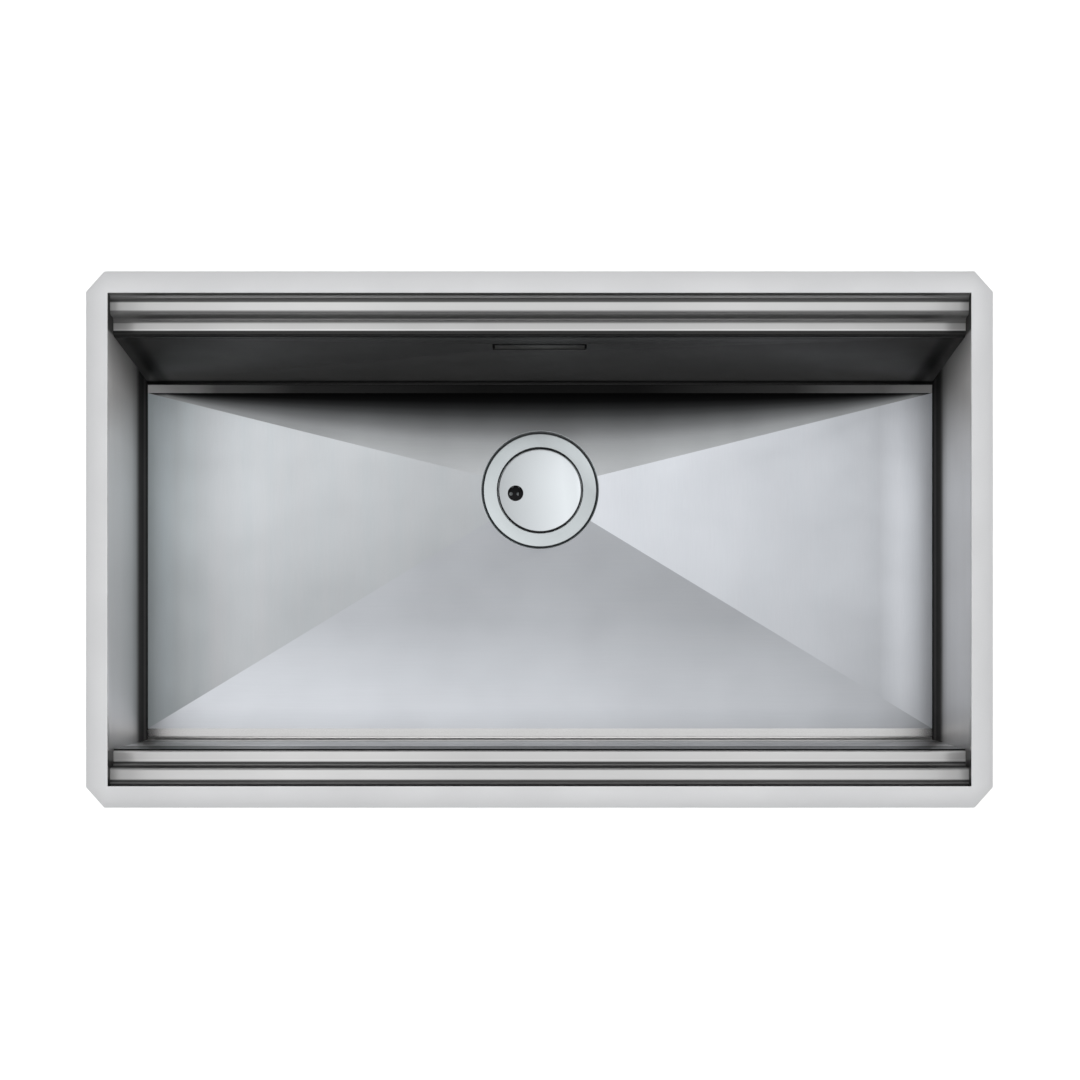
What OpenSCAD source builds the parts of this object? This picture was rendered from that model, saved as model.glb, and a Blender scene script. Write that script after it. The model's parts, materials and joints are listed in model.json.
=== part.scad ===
// Undermount kitchen sink with two accessory ledges, a creased floor and a covered strainer waste.
// X runs along the sink, Y towards the back, Z up. The origin is the middle of the opening at the
// flange's top face, where the worktop rests.

/* [Bowl] */
// Inside length along X
bowl_length = 800; // [500:5:1000]
// Opening from front to back at the flange
bowl_width = 457; // [420:1:520]
// From the flange's top face down to the floor's outer edge
bowl_depth = 220; // [190:1:260]
// Thickness of the bowl's steel
sheet = 1.5; // [1:0.1:2]
// Lean of the front and rear walls in degrees, inwards as they go down
wall_lean = 3.5; // [1:0.1:5]
// Inside radius where the front and rear walls bend into the floor
floor_bend = 3; // [2:0.5:12]
// Flat strip of the floor along the front and rear walls, before the fall begins
floor_border = 8.5; // [6:0.5:16]
// Fall of the floor from its outer edge to the point where the creases meet
floor_fall = 5; // [4:0.5:9]

/* [Flange] */
// Reach of the flange beyond the opening
flange_reach = 20; // [16:1:30]
// Thickness of the flange
flange_thickness = 1.5; // [1:0.1:2]
// Corner cut along X
corner_cut_x = 17; // [10:1:24]
// Corner cut along Y
corner_cut_y = 19; // [10:1:24]

/* [Ledges] */
// From the flange's top face down to the upper ledge
upper_drop = 13; // [12:0.5:20]
// From the upper ledge down to the lower ledge
lower_drop = 17; // [14:0.5:24]
// Depth of the upper ledge from riser to riser
upper_ledge = 18; // [15:0.5:25]
// Depth of the lower ledge from riser to wall
lower_ledge = 17; // [15:0.5:25]
// Inside radius behind the upper ledge
upper_cove = 6; // [3:0.5:7]
// Inside radius behind the lower ledge
lower_cove = 5; // [3:0.5:7]
// Rounding of each ledge's front edge
nosing = 4; // [3:0.5:5]
// Straight lip under the lower nosing, down to the wall's seam
lip = 3; // [2:0.5:8]

/* [Drain] */
// Distance of the drain's centre behind the middle of the bowl
drain_back = 72.5; // [0:0.5:90]
// Outside diameter of the drain flange
drain_flange_d = 115; // [110:0.5:125]
// Diameter of the mouth inside the drain flange
drain_mouth_d = 87.5; // [80:0.5:92]
// Play between the drain flange and the pressed seat around it
seat_gap = 1; // [0.5:0.1:2]
// Play between the strainer cup and its hole in the floor
hole_gap = 0.5; // [0.3:0.1:1]
// Thickness of the strainer cup's steel
cup_wall = 1; // [0.8:0.1:1.5]
// Depth of the shelf that carries the basket
shelf_depth = 11; // [9:0.5:14]
// Width of that shelf
shelf = 3; // [2.5:0.1:4]
// Inside depth of the strainer cup
cup_depth = 37; // [34:0.5:50]
// Radius of the outlet in the cup's bottom
sump_r = 19; // [17:0.5:22]
// Depth of the outlet collar under the cup
sump_depth = 9; // [8:0.5:12]
// Thickness of the seal between the drain flange and its seat
flange_seal_t = 1.2; // [0.8:0.1:2]
// Thickness of the seal between the floor and the waste chamber
body_seal_t = 2; // [1.5:0.1:3]
// Play between the hole's edge and the waste chamber's bore
body_gap = 1; // [0.5:0.1:2]
// Wall of the waste chamber
body_wall = 3; // [2:0.5:4]
// Gap between the cup's outlet collar and the boss that takes the centre screw
chamber_gap = 8; // [4:0.5:20]
// Height of that boss
boss_t = 14; // [12:1:20]
// Length of the funnel under the chamber
funnel = 16; // [12:1:24]
// Outside diameter of the threaded outlet
outlet_d = 47.8; // [40:0.1:60]
// Wall of the threaded outlet
outlet_wall = 3.4; // [2.5:0.1:5]
// Length of the threaded outlet
outlet_length = 29; // [20:1:40]
// Diameter of the centre screw
screw_d = 8; // [6:0.5:10]
// Clearance around shafts and threads
thread_gap = 0.1; // [0.05:0.01:0.2]

/* [Basket and cover] */
// Gap that keeps lifted pieces just off the faces they rest on
rest_gap = 0.3; // [0.2:0.05:0.5]
// Play between the basket's rim and the mouth
basket_play = 1; // [0.6:0.1:1.5]
// Width of the basket's rim
basket_rim = 6.75; // [6:0.25:8]
// Thickness of the basket's steel
basket_wall = 1; // [0.6:0.1:1.2]
// Diameter of the basket's round holes
strainer_hole_d = 4; // [2.5:0.25:4.5]
// Thickness of the plug's disc under the basket
plug_t = 3; // [2:0.5:4]
// Length of the plug's neck between its disc and the basket
plug_neck = 2; // [1:0.5:4]
// Lap of the plug over the outlet's edge
plug_lap = 3; // [2:0.5:4]
// Gap all round the cover for the water
cover_gap = 1.85; // [1.2:0.05:2.5]
// Thickness of the cover at its edge
cover_edge = 1.5; // [1:0.1:2]
// Rise of the cover's middle above its edge
cover_dome = 1.2; // [0.6:0.1:2]
// Depth of the cover's edge below the drain flange
cover_sink = 0.5; // [0:0.1:1]
// Diameter of the finger hole
finger_hole_d = 16; // [14:0.5:20]
// Distance of the finger hole from the cover's centre
finger_hole_out = 25.2; // [20:0.1:28]
// Direction of the finger hole, counted from +X
finger_hole_turn = 187; // [0:1:359]
// Diameter of the cover's feet
foot_d = 5; // [4:0.5:6]

/* [Overflow] */
// Length of the overflow slot
slot_length = 90; // [70:1:110]
// Height of the overflow slot along the wall
slot_height = 24.5; // [22:0.5:34]
// Depth of the slot's middle below the flange's top face
slot_depth = 73.5; // [66:0.5:90]
// Gap between the slot and its plate
plate_gap = 2; // [1:0.1:3]
// Thickness of the plate
plate_t = 1.5; // [1:0.1:2]
// Thickness of the gasket behind the wall
gasket_t = 2; // [1:0.1:3]
// Wall of the overflow housing
housing_wall = 2; // [1.5:0.1:3]
// Play between the slot's edges and the housing's chamber
slot_play = 2; // [1:0.5:4]
// Thickness of the housing's flange
ear_t = 2.5; // [2:0.1:4]
// Reach of the housing's flange beyond the chamber, at its ends
housing_ear = 15; // [13:0.5:20]
// Reach of the housing's flange above and below the chamber
housing_lap = 6; // [4:0.5:9]
// Diameter of the two weld studs
stud_d = 4; // [3:0.5:5]
// From the gasket out to the bosses that the plate's posts stop on
post_stand = 9; // [7:0.5:12]
// Depth of the posts in their bosses
post_in = 8; // [5:0.5:12]
// Length of the housing's spigot above the hose
spigot_length = 10; // [6:1:16]
// Length of the stubs that the hose is pushed on to
stub_length = 20; // [15:1:26]

/* [Overflow hose] */
// Bore of the hose
hose_bore_d = 16.6; // [14:0.1:18]
// Thickness of the hose between its ribs
hose_wall = 1.5; // [1:0.1:2]
// Height of the ribs
rib_height = 1.2; // [0.8:0.1:1.6]
// Distance from rib to rib
rib_pitch = 4; // [3:0.5:6]
// Bend radius of the hose's middle line
hose_bend = 32; // [28:1:36]
// Play between the hose and the rear wall's pad
hose_clear = 1; // [0.5:0.5:5]
// Distance of the waste chamber's side port above the chamber's lower edge
port_rise = 2; // [1:0.5:6]
// Reach of the side port beyond the chamber's bore
port_reach = 21; // [17:1:33]
// Length of the hose nuts
nut_length = 14; // [10:1:18]

/* [Sound pads] */
// Thickness of the rubber pads
pad_t = 4; // [2:0.5:5]
// Distance from the end walls' pads to the walls' edges
end_pad_inset = 50; // [40:1:70]
// Distance from the long walls' pads to the walls' ends
long_pad_inset = 80; // [50:5:120]
// Thickness of the glue under the pads
glue_t = 0.1; // [0.05:0.05:0.3]
// Gap between the hose's upper nut and the rear wall's pad
nut_pad_gap = 6; // [3:0.5:12]
// Height of the wall pads' lower edge above the floor
pad_rise = 26; // [20:1:30]
// Distance from the floor pads to the floor's edge
floor_pad_inset = 24; // [15:1:40]
// Distance from the floor pads to the drain's seat
drain_pad_gap = 22; // [15:1:40]

/* [Hidden] */
$fn = 96;
half_length = bowl_length / 2;
half_width = bowl_width / 2;
// Ledges and walls, as distances from the middle and depths below the flange's top
riser_y = half_width - upper_ledge;
wall_top_y = riser_y - lower_ledge;
lower_depth = upper_drop + lower_drop;
lip_depth = lower_depth + nosing + lip;
corner_y = wall_top_y - (bowl_depth - lip_depth) * tan(wall_lean);
floor_y = corner_y - floor_bend * tan((90 - wall_lean) / 2);
fall_y = floor_y - floor_border;
bend_depth = bowl_depth - floor_bend;
// Drain
ring_z = -bowl_depth - floor_fall;
flange_r = drain_flange_d / 2;
mouth_r = drain_mouth_d / 2;
cup_r = mouth_r - shelf;
seat_r = flange_r + seat_gap;
hole_r = mouth_r + cup_wall + hole_gap;
seat_depth = cup_wall + flange_seal_t;
edge_ease = cup_wall / 2;
seal_inset = 2;
seat_under = seat_depth + sheet;
body_top = seat_under + body_seal_t;
body_rim = 4;
body_r = hole_r + body_gap;
sump_floor = cup_depth + sump_depth;
boss_top = sump_floor + chamber_gap;
body_joint = boss_top + boss_t / 2;
funnel_top = boss_top + boss_t;
outlet_top = funnel_top + funnel;
outlet_end = outlet_top + outlet_length;
outlet_r = outlet_d / 2;
outlet_bore = outlet_r - outlet_wall;
body_outer_r = body_r + body_wall;
hub_r = 8;
hub_t = 3;
arm_w = 5;
arm_t = 2;
screw_r = screw_d / 2;
head_r = screw_r + 3;
head_t = 3.5;
head_slot = 1.2;
boss_r = screw_r + 5;
boss_floor = 3;
tip_gap = 1;
screw_bore_end = funnel_top - boss_floor;
// Basket and cover, counted down from the drain flange's top
rim_under = shelf_depth - rest_gap;
rim_top = rim_under - basket_wall;
basket_rim_r = mouth_r - basket_play;
basket_r = basket_rim_r - basket_rim;
plug_under = cup_depth - rest_gap;
basket_floor = plug_under - plug_t - plug_neck - basket_wall;
basket_depth = basket_floor - rim_under;
plug_r = sump_r + plug_lap;
plug_neck_r = 8;
plug_skin = 1;
stem_r = 3;
stem_collar_r = 5;
stem_collar_t = 1.5;
stem_gap = 0.5;
stem_height = 12;
knob_r = 7;
knob_t = 5;
hole_rings = [2, 3, 4];
hole_rows = [1, 2];
ring_pitch = basket_r / 4.8;
cover_r = mouth_r - cover_gap;
cover_under = cover_sink + cover_edge;
foot_out = basket_rim_r - basket_rim / 2;
// Hose and its spigot
hose_bore = hose_bore_d / 2;
hose_root = hose_bore + hose_wall;
hose_crest = hose_root + rib_height;
stub_r = hose_bore - thread_gap;
stub_wall = 1.8;
rib_share = 0.5;
spigot_r = hose_crest + 0.5;
port_r = hose_crest + 3;
port_drop = body_joint - port_rise - port_r;
port_z = ring_z - port_drop;
port_end = drain_back + body_r + port_reach;
nut_r = hose_crest + 3;
// Overflow, in the leaning frame of the rear wall
gasket_out = sheet + gasket_t;
ear_out = gasket_out + ear_t;
housing_reach = 2 * (hose_crest + max(hose_clear, pad_t - gasket_t + hose_clear));
housing_back = gasket_out + housing_reach;
chamber_x = slot_length / 2 + slot_play;
chamber_z = slot_height / 2 + slot_play;
housing_x = chamber_x + housing_wall;
housing_z = chamber_z + housing_wall;
stud_x = housing_x + housing_ear / 2;
stud_reach = 10;
nut_t = 3.2;
post_x = slot_length / 3;
post_r = 2.5;
post_collar_r = 4;
post_boss_r = 5;
post_seat = gasket_out + post_stand;
// Course of the hose
hose_y = wall_y(slot_depth) + (gasket_out + housing_back) / 2;
spigot_end = slot_depth + housing_z + spigot_length;
hose_down = -port_z - hose_bend - spigot_end;
hose_along = hose_y - hose_bend - port_end;
ribs_down = floor(hose_down / rib_pitch);
ribs_along = floor(hose_along / rib_pitch);
ribs_round = floor(hose_bend * PI / 2 / rib_pitch);
// Wall pads
wall_pad_height = bowl_depth - pad_rise - spigot_end - nut_length - nut_pad_gap;
// Overshoot of the cuts
over = 1;

// Distance of a long wall's inner face from the middle, at a depth below its seam
function wall_y(depth) = wall_top_y - (depth - lip_depth) * tan(wall_lean);

// Point at a distance and an angle
function polar(r, a) = [r * cos(a), r * sin(a)];

module steel() {
    color([0.70, 0.71, 0.72]) children();
}

module rubber() {
    color([0.10, 0.10, 0.11]) children();
}

module plastic() {
    color([0.16, 0.17, 0.18]) children();
}

// A section drawn as distance back and height, run along X
module along_x(length) {
    rotate([90, 0, 90])
        linear_extrude(length, center = true) children();
}

module at_front() {
    mirror([0, 1, 0]) children();
}

module at_right() {
    mirror([1, 0, 0]) children();
}

module at_drain() {
    translate([0, drain_back, ring_z]) children();
}

// Frame on the rear wall's inner face: Y goes out through the wall and Z up along it
module on_rear_wall(depth) {
    translate([0, wall_y(depth), -depth])
        rotate([-wall_lean, 0, 0]) children();
}

// Steel bent round an inside radius from one angle to another
module bend(centre, inner, from, to) {
    reach = 2 * (inner + sheet);
    translate(centre)
        intersection() {
            difference() {
                circle(inner + sheet);
                circle(inner);
            }
            polygon([[0, 0], polar(reach, from), polar(2 * reach, (from + to) / 2), polar(reach, to)]);
        }
}

// Flat steel in a section, from one corner to the opposite one
module strip(low, high) {
    translate(low) square(high - low);
}

module rail_section() {
    upper_centre_z = -(upper_drop - upper_cove);
    lower_centre_z = -(lower_depth - lower_cove);
    upper_nose_z = -(upper_drop + nosing);
    lower_nose_z = -(lower_depth + nosing);
    strip([half_width, upper_centre_z], [half_width + sheet, -flange_thickness]);
    bend([half_width - upper_cove, upper_centre_z], upper_cove, -90, 0);
    strip([riser_y + nosing, -upper_drop - sheet], [half_width - upper_cove, -upper_drop]);
    bend([riser_y + nosing, upper_nose_z], nosing - sheet, 90, 180);
    strip([riser_y, lower_centre_z], [riser_y + sheet, upper_nose_z]);
    bend([riser_y - lower_cove, lower_centre_z], lower_cove, -90, 0);
    strip([wall_top_y + nosing, -lower_depth - sheet], [riser_y - lower_cove, -lower_depth]);
    bend([wall_top_y + nosing, lower_nose_z], nosing - sheet, 90, 180);
    strip([wall_top_y, -lip_depth], [wall_top_y + sheet, lower_nose_z]);
}

// Leaning wall with the bend at its foot, cut level at the seam under the ledges
module wall_section() {
    difference() {
        translate([floor_y, -bend_depth])
            rotate(-wall_lean) {
                strip([floor_bend, 0], [floor_bend + sheet, (bowl_depth - lip_depth) / cos(wall_lean)]);
                bend([0, 0], floor_bend, wall_lean - 90, 0);
            }
        translate([0, -lip_depth]) square([half_width, lip_depth]);
    }
}

// A step of the end walls' outline with rounded lower corners
module step_outline(half, top, bottom, r) {
    translate([-half, -bottom + r]) square([2 * half, bottom - r - top]);
    translate([-half + r, -bottom]) square([2 * (half - r), bottom - top]);
    for (side = [-1, 1])
        intersection() {
            translate([side * (half - r), -bottom + r]) circle(r);
            translate([-half, -bottom]) square([2 * half, bottom - top]);
        }
}

module end_outline() {
    lean_top = wall_top_y + sheet / cos(wall_lean);
    foot = [floor_y, -bend_depth] + polar(floor_bend + sheet, -wall_lean);
    step_outline(half_width + sheet, flange_thickness, upper_drop + sheet, upper_cove + sheet);
    step_outline(riser_y + sheet, upper_drop, lower_depth + sheet, lower_cove + sheet);
    translate([-lean_top, -lip_depth]) square([2 * lean_top, lip_depth - lower_depth]);
    polygon([
        [-lean_top, -lip_depth], [-foot[0], foot[1]], [-floor_y, -bowl_depth - sheet],
        [floor_y, -bowl_depth - sheet], foot, [lean_top, -lip_depth]
    ]);
    for (side = [-1, 1])
        translate([side * floor_y, -bend_depth]) circle(floor_bend + sheet);
}

// Space over the creased floor when it is lowered by a drop: a shallow pyramid turned over, with
// its point under the drain, carried up by a rise
module basin(drop, rise) {
    edge = -bowl_depth - drop;
    corners = [
        [-half_length, -fall_y], [half_length, -fall_y], [half_length, fall_y], [-half_length, fall_y]
    ];
    polyhedron(
        points = concat(
            [for (c = corners) [c[0], c[1], edge]],
            [for (c = corners) [c[0], c[1], edge + rise]],
            [[0, drain_back, ring_z - drop]]
        ),
        faces = [
            [7, 6, 5, 4], [0, 4, 5, 1], [1, 5, 6, 2], [2, 6, 7, 3], [3, 7, 4, 0],
            [8, 0, 1], [8, 1, 2], [8, 2, 3], [8, 3, 0]
        ]
    );
}

// A ring round the drain's axis between two depths
module drain_ring(inner, outer, top, bottom) {
    translate([0, 0, -bottom])
        difference() {
            cylinder(r = outer, h = bottom - top);
            translate([0, 0, -over]) cylinder(r = inner, h = bottom - top + 2 * over);
        }
}

module mounting_flange() {
    x = half_length + flange_reach;
    y = half_width + flange_reach;
    steel()
        translate([0, 0, -flange_thickness])
            linear_extrude(flange_thickness)
                difference() {
                    polygon([
                        [-x + corner_cut_x, -y], [x - corner_cut_x, -y],
                        [x, -y + corner_cut_y], [x, y - corner_cut_y],
                        [x - corner_cut_x, y], [-x + corner_cut_x, y],
                        [-x, y - corner_cut_y], [-x, -y + corner_cut_y]
                    ]);
                    square([bowl_length, bowl_width], center = true);
                }
}

module rear_ledge_rail() {
    steel() along_x(bowl_length) rail_section();
}

module front_ledge_rail() {
    at_front() rear_ledge_rail();
}

module front_wall() {
    at_front()
        steel() along_x(bowl_length) wall_section();
}

// Cut by the overflow slot
module rear_wall() {
    steel()
        difference() {
            along_x(bowl_length) wall_section();
            on_rear_wall(slot_depth)
                cube([slot_length, 4 * sheet, slot_height], center = true);
        }
}

module left_wall() {
    steel()
        translate([-half_length - sheet / 2, 0, 0])
            along_x(sheet) end_outline();
}

module right_wall() {
    at_right() left_wall();
}

// Four triangles that fall to the drain between two flat strips, with a pressed seat for the
// drain's flange
module floor_pan() {
    steel()
        difference() {
            union() {
                basin(sheet, sheet);
                for (side = [-1, 1])
                    translate([0, side * (fall_y + floor_border / 2), -bowl_depth - sheet / 2])
                        cube([bowl_length, floor_border, sheet], center = true);
                translate([0, drain_back, ring_z - seat_under])
                    cylinder(r = seat_r + sheet, h = floor_fall + seat_under - sheet / 2);
            }
            basin(0, sheet);
            translate([0, drain_back, ring_z - seat_depth])
                cylinder(r = seat_r, h = floor_fall + seat_depth + sheet);
            translate([0, drain_back, ring_z - 2 * seat_under])
                cylinder(r = hole_r, h = 3 * seat_under);
        }
}

// A pad on the outer face of the rear wall
module sound_pad_rear() {
    rubber()
        on_rear_wall(bowl_depth - pad_rise)
            translate([-half_length + long_pad_inset, sheet + glue_t, 0])
                cube([bowl_length - 2 * long_pad_inset, pad_t, wall_pad_height]);
}

module sound_pad_front() {
    at_front() sound_pad_rear();
}

module sound_pad_left() {
    outer_x = -half_length - sheet - glue_t - pad_t;
    rubber()
        translate([outer_x, -wall_top_y + end_pad_inset, -bowl_depth + pad_rise])
            cube([pad_t, 2 * (wall_top_y - end_pad_inset), wall_pad_height]);
}

module sound_pad_right() {
    at_right() sound_pad_left();
}

// A pad under the left half of the floor that follows its fall
module sound_pad_floor_left() {
    low_x = -half_length + floor_pad_inset;
    high_x = -seat_r - sheet - drain_pad_gap;
    rubber()
        difference() {
            intersection() {
                basin(sheet + glue_t + pad_t, pad_t);
                translate([low_x, -fall_y + floor_pad_inset, -2 * bowl_depth])
                    cube([high_x - low_x, 2 * (fall_y - floor_pad_inset), 2 * bowl_depth]);
            }
            basin(sheet + glue_t, sheet);
        }
}

module sound_pad_floor_right() {
    at_right() sound_pad_floor_left();
}

// Plate flush with the wall, on two stepped posts
module overflow_cover() {
    steel()
        on_rear_wall(slot_depth) {
            translate([0, plate_t / 2, 0])
                cube([slot_length - 2 * plate_gap, plate_t, slot_height - 2 * plate_gap], center = true);
            for (side = [-1, 1])
                translate([side * post_x, plate_t, 0]) {
                    rotate([-90, 0, 0]) cylinder(r = post_collar_r, h = post_seat - plate_t);
                    rotate([-90, 0, 0]) cylinder(r = post_r, h = post_seat - plate_t + post_in);
                }
        }
}

// Outline of the housing's flange, laid flat against the wall
module ear_plate(out, thickness) {
    translate([-housing_x - housing_ear, out, -housing_z - housing_lap])
        cube([2 * (housing_x + housing_ear), thickness, 2 * (housing_z + housing_lap)]);
}

module stud_holes() {
    for (side = [-1, 1])
        translate([side * stud_x, 0, 0])
            rotate([-90, 0, 0]) cylinder(r = stud_d / 2 + 2 * thread_gap, h = housing_back);
}

module overflow_gasket() {
    rubber()
        on_rear_wall(slot_depth)
            difference() {
                ear_plate(sheet, gasket_t);
                cube([2 * chamber_x, 4 * housing_back, 2 * chamber_z], center = true);
                stud_holes();
            }
}

// Moulded box behind the slot, with bosses for the plate's posts and a spigot for the hose
module overflow_housing() {
    plastic()
        difference() {
            union() {
                difference() {
                    union() {
                        on_rear_wall(slot_depth) {
                            ear_plate(gasket_out, ear_out - gasket_out);
                            translate([-housing_x, gasket_out, -housing_z])
                                cube([2 * housing_x, housing_reach, 2 * housing_z]);
                        }
                        translate([0, hose_y, -spigot_end])
                            cylinder(r = spigot_r, h = spigot_end - slot_depth);
                    }
                    on_rear_wall(slot_depth) {
                        translate([-chamber_x, 0, -chamber_z])
                            cube([2 * chamber_x, housing_back - housing_wall, 2 * chamber_z]);
                        stud_holes();
                    }
                }
                on_rear_wall(slot_depth)
                    for (side = [-1, 1])
                        translate([side * post_x, post_seat, 0])
                            rotate([-90, 0, 0])
                                cylinder(r = post_boss_r, h = housing_back - housing_wall / 2 - post_seat);
                translate([0, hose_y, -spigot_end - stub_length])
                    cylinder(r = stub_r, h = stub_length + over);
            }
            on_rear_wall(slot_depth)
                for (side = [-1, 1])
                    translate([side * post_x, 0, 0])
                        rotate([-90, 0, 0])
                            cylinder(r = post_r + thread_gap, h = housing_back - housing_wall);
            translate([0, hose_y, -spigot_end - stub_length - over])
                cylinder(r = stub_r - stub_wall, h = spigot_end + stub_length + over - slot_depth);
        }
}

module overflow_studs() {
    steel()
        on_rear_wall(slot_depth)
            for (side = [-1, 1])
                translate([side * stud_x, sheet, 0])
                    rotate([-90, 0, 0]) cylinder(r = stud_d / 2, h = gasket_t + stud_reach);
}

module overflow_nuts() {
    steel()
        on_rear_wall(slot_depth)
            for (side = [-1, 1])
                translate([side * stud_x, ear_out, 0])
                    rotate([-90, 0, 0])
                        difference() {
                            cylinder(r = stud_d, h = nut_t, $fn = 6);
                            translate([0, 0, -over])
                                cylinder(r = stud_d / 2 + thread_gap, h = nut_t + 2 * over);
                        }
}

// Straight ribbed hose standing on its end, with a number of ribs
module ribbed_tube(length, ribs) {
    low = (1 - rib_share) / 2;
    high = (1 + rib_share) / 2;
    rib = [[hose_root, low], [hose_crest, low], [hose_crest, high], [hose_root, high]];
    rotate_extrude()
        polygon(concat(
            [[hose_bore, 0], [hose_root, 0]],
            [for (i = [0 : ribs - 1], p = rib) [p[0], (i + p[1]) * rib_pitch]],
            [[hose_root, length], [hose_bore, length]]
        ));
}

// Ring of the hose's section, swept round the bend from one angle to another
module hose_arc(inner, outer, from, to) {
    rotate([0, 0, from])
        rotate_extrude(angle = to - from)
            translate([hose_bend, 0])
                difference() {
                    circle(outer);
                    circle(inner);
                }
}

// Down from the housing, round a quarter bend and forward to the chamber's side port
module overflow_hose() {
    turn = 90 / ribs_round;
    low = (1 - rib_share) / 2 * turn - 90;
    high = (1 + rib_share) / 2 * turn - 90;
    plastic() {
        translate([0, hose_y, port_z + hose_bend]) ribbed_tube(hose_down, ribs_down);
        translate([0, hose_y - hose_bend, port_z])
            rotate([90, 0, 0]) ribbed_tube(hose_along, ribs_along);
        translate([0, hose_y - hose_bend, port_z + hose_bend])
            rotate([90, 0, 90]) {
                hose_arc(hose_bore, hose_root, -90, 0);
                for (i = [0 : ribs_round - 1])
                    hose_arc(hose_bore + hose_wall / 2, hose_crest, i * turn + low, i * turn + high);
            }
    }
}

module hose_nut_top() {
    plastic()
        translate([0, hose_y, -spigot_end - nut_length])
            difference() {
                cylinder(r = nut_r, h = nut_length);
                translate([0, 0, -over]) cylinder(r = hose_crest + thread_gap, h = nut_length + 2 * over);
            }
}

module hose_nut_bottom() {
    plastic()
        translate([0, port_end, port_z])
            rotate([-90, 0, 0])
                difference() {
                    cylinder(r = nut_r, h = nut_length);
                    translate([0, 0, -over])
                        cylinder(r = hose_crest + thread_gap, h = nut_length + 2 * over);
                }
}

// Three arms and a hub across a collar, at a depth
module spider(hub, reach, width, thickness, hub_thickness, depth) {
    translate([0, 0, -depth]) {
        cylinder(r = hub, h = hub_thickness);
        for (i = [0 : 2])
            rotate([0, 0, 90 + 120 * i])
                translate([hub / 2, -width / 2, 0]) cube([reach - hub / 2, width, thickness]);
    }
}

// Pressed strainer cup with its visible flange, basket shelf and outlet collar
module drain_flange() {
    steel()
        at_drain()
            difference() {
                union() {
                    rotate_extrude()
                        polygon([
                            [flange_r, -cup_wall], [flange_r, -edge_ease], [flange_r - edge_ease, 0],
                            [mouth_r + edge_ease, 0], [mouth_r, -edge_ease], [mouth_r, -shelf_depth],
                            [cup_r, -shelf_depth], [cup_r, -cup_depth], [sump_r, -cup_depth],
                            [sump_r, -sump_floor], [sump_r + cup_wall, -sump_floor],
                            [sump_r + cup_wall, -cup_depth - cup_wall],
                            [cup_r + cup_wall, -cup_depth - cup_wall],
                            [cup_r + cup_wall, -shelf_depth - cup_wall],
                            [mouth_r + cup_wall, -shelf_depth - cup_wall],
                            [mouth_r + cup_wall, -cup_wall]
                        ]);
                    spider(hub_r, sump_r + cup_wall / 2, arm_w, arm_t, hub_t, sump_floor);
                }
                translate([0, 0, -sump_floor - over])
                    cylinder(r = screw_r + thread_gap, h = hub_t + 2 * over);
            }
}

module flange_seal() {
    rubber()
        at_drain()
            drain_ring(hole_r + seal_inset, flange_r - seal_inset, cup_wall, seat_depth);
}

module body_seal() {
    rubber()
        at_drain()
            drain_ring(hole_r + seal_inset, flange_r - seal_inset, seat_under, body_top);
}

// Moulded ring under the floor, with the side port for the hose
module waste_chamber() {
    port_length = port_reach + stub_length;
    plastic()
        at_drain()
            difference() {
                union() {
                    difference() {
                        union() {
                            drain_ring(body_r, flange_r, body_top, body_top + body_rim);
                            drain_ring(body_r, body_outer_r, body_top, body_joint);
                            translate([0, body_r, -port_drop])
                                rotate([-90, 0, 0]) cylinder(r = port_r, h = port_reach);
                        }
                        translate([0, 0, -body_joint]) cylinder(r = body_r, h = body_joint - body_top);
                    }
                    translate([0, body_r + body_wall, -port_drop])
                        rotate([-90, 0, 0]) cylinder(r = stub_r, h = port_length - body_wall);
                }
                translate([0, body_r - body_wall, -port_drop])
                    rotate([-90, 0, 0])
                        cylinder(r = stub_r - stub_wall, h = port_length + body_wall + over);
            }
}

// Moulded funnel with the boss for the centre screw and the threaded outlet
module waste_funnel() {
    plastic()
        at_drain()
            difference() {
                union() {
                    rotate_extrude()
                        polygon([
                            [body_r, -body_joint], [body_outer_r, -body_joint], [body_outer_r, -funnel_top],
                            [outlet_r + body_wall, -outlet_top], [outlet_r, -outlet_top],
                            [outlet_r, -outlet_end], [outlet_bore, -outlet_end],
                            [outlet_bore, -outlet_top], [body_r, -funnel_top]
                        ]);
                    spider(boss_r, body_r + body_wall / 2, arm_w, boss_t / 2, boss_t, funnel_top);
                }
                translate([0, 0, -screw_bore_end])
                    cylinder(r = screw_r + thread_gap, h = screw_bore_end - boss_top + over);
            }
}

// Pulls the cup down on to the floor and the body up against it
module centre_screw() {
    hub_top = sump_floor - hub_t;
    steel()
        at_drain() {
            translate([0, 0, -screw_bore_end + tip_gap])
                cylinder(r = screw_r, h = screw_bore_end - tip_gap - hub_top);
            translate([0, 0, -hub_top])
                difference() {
                    cylinder(r = head_r, h = head_t);
                    translate([-head_r, -head_slot / 2, head_t / 2])
                        cube([2 * head_r, head_slot, head_t]);
                }
        }
}

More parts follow.
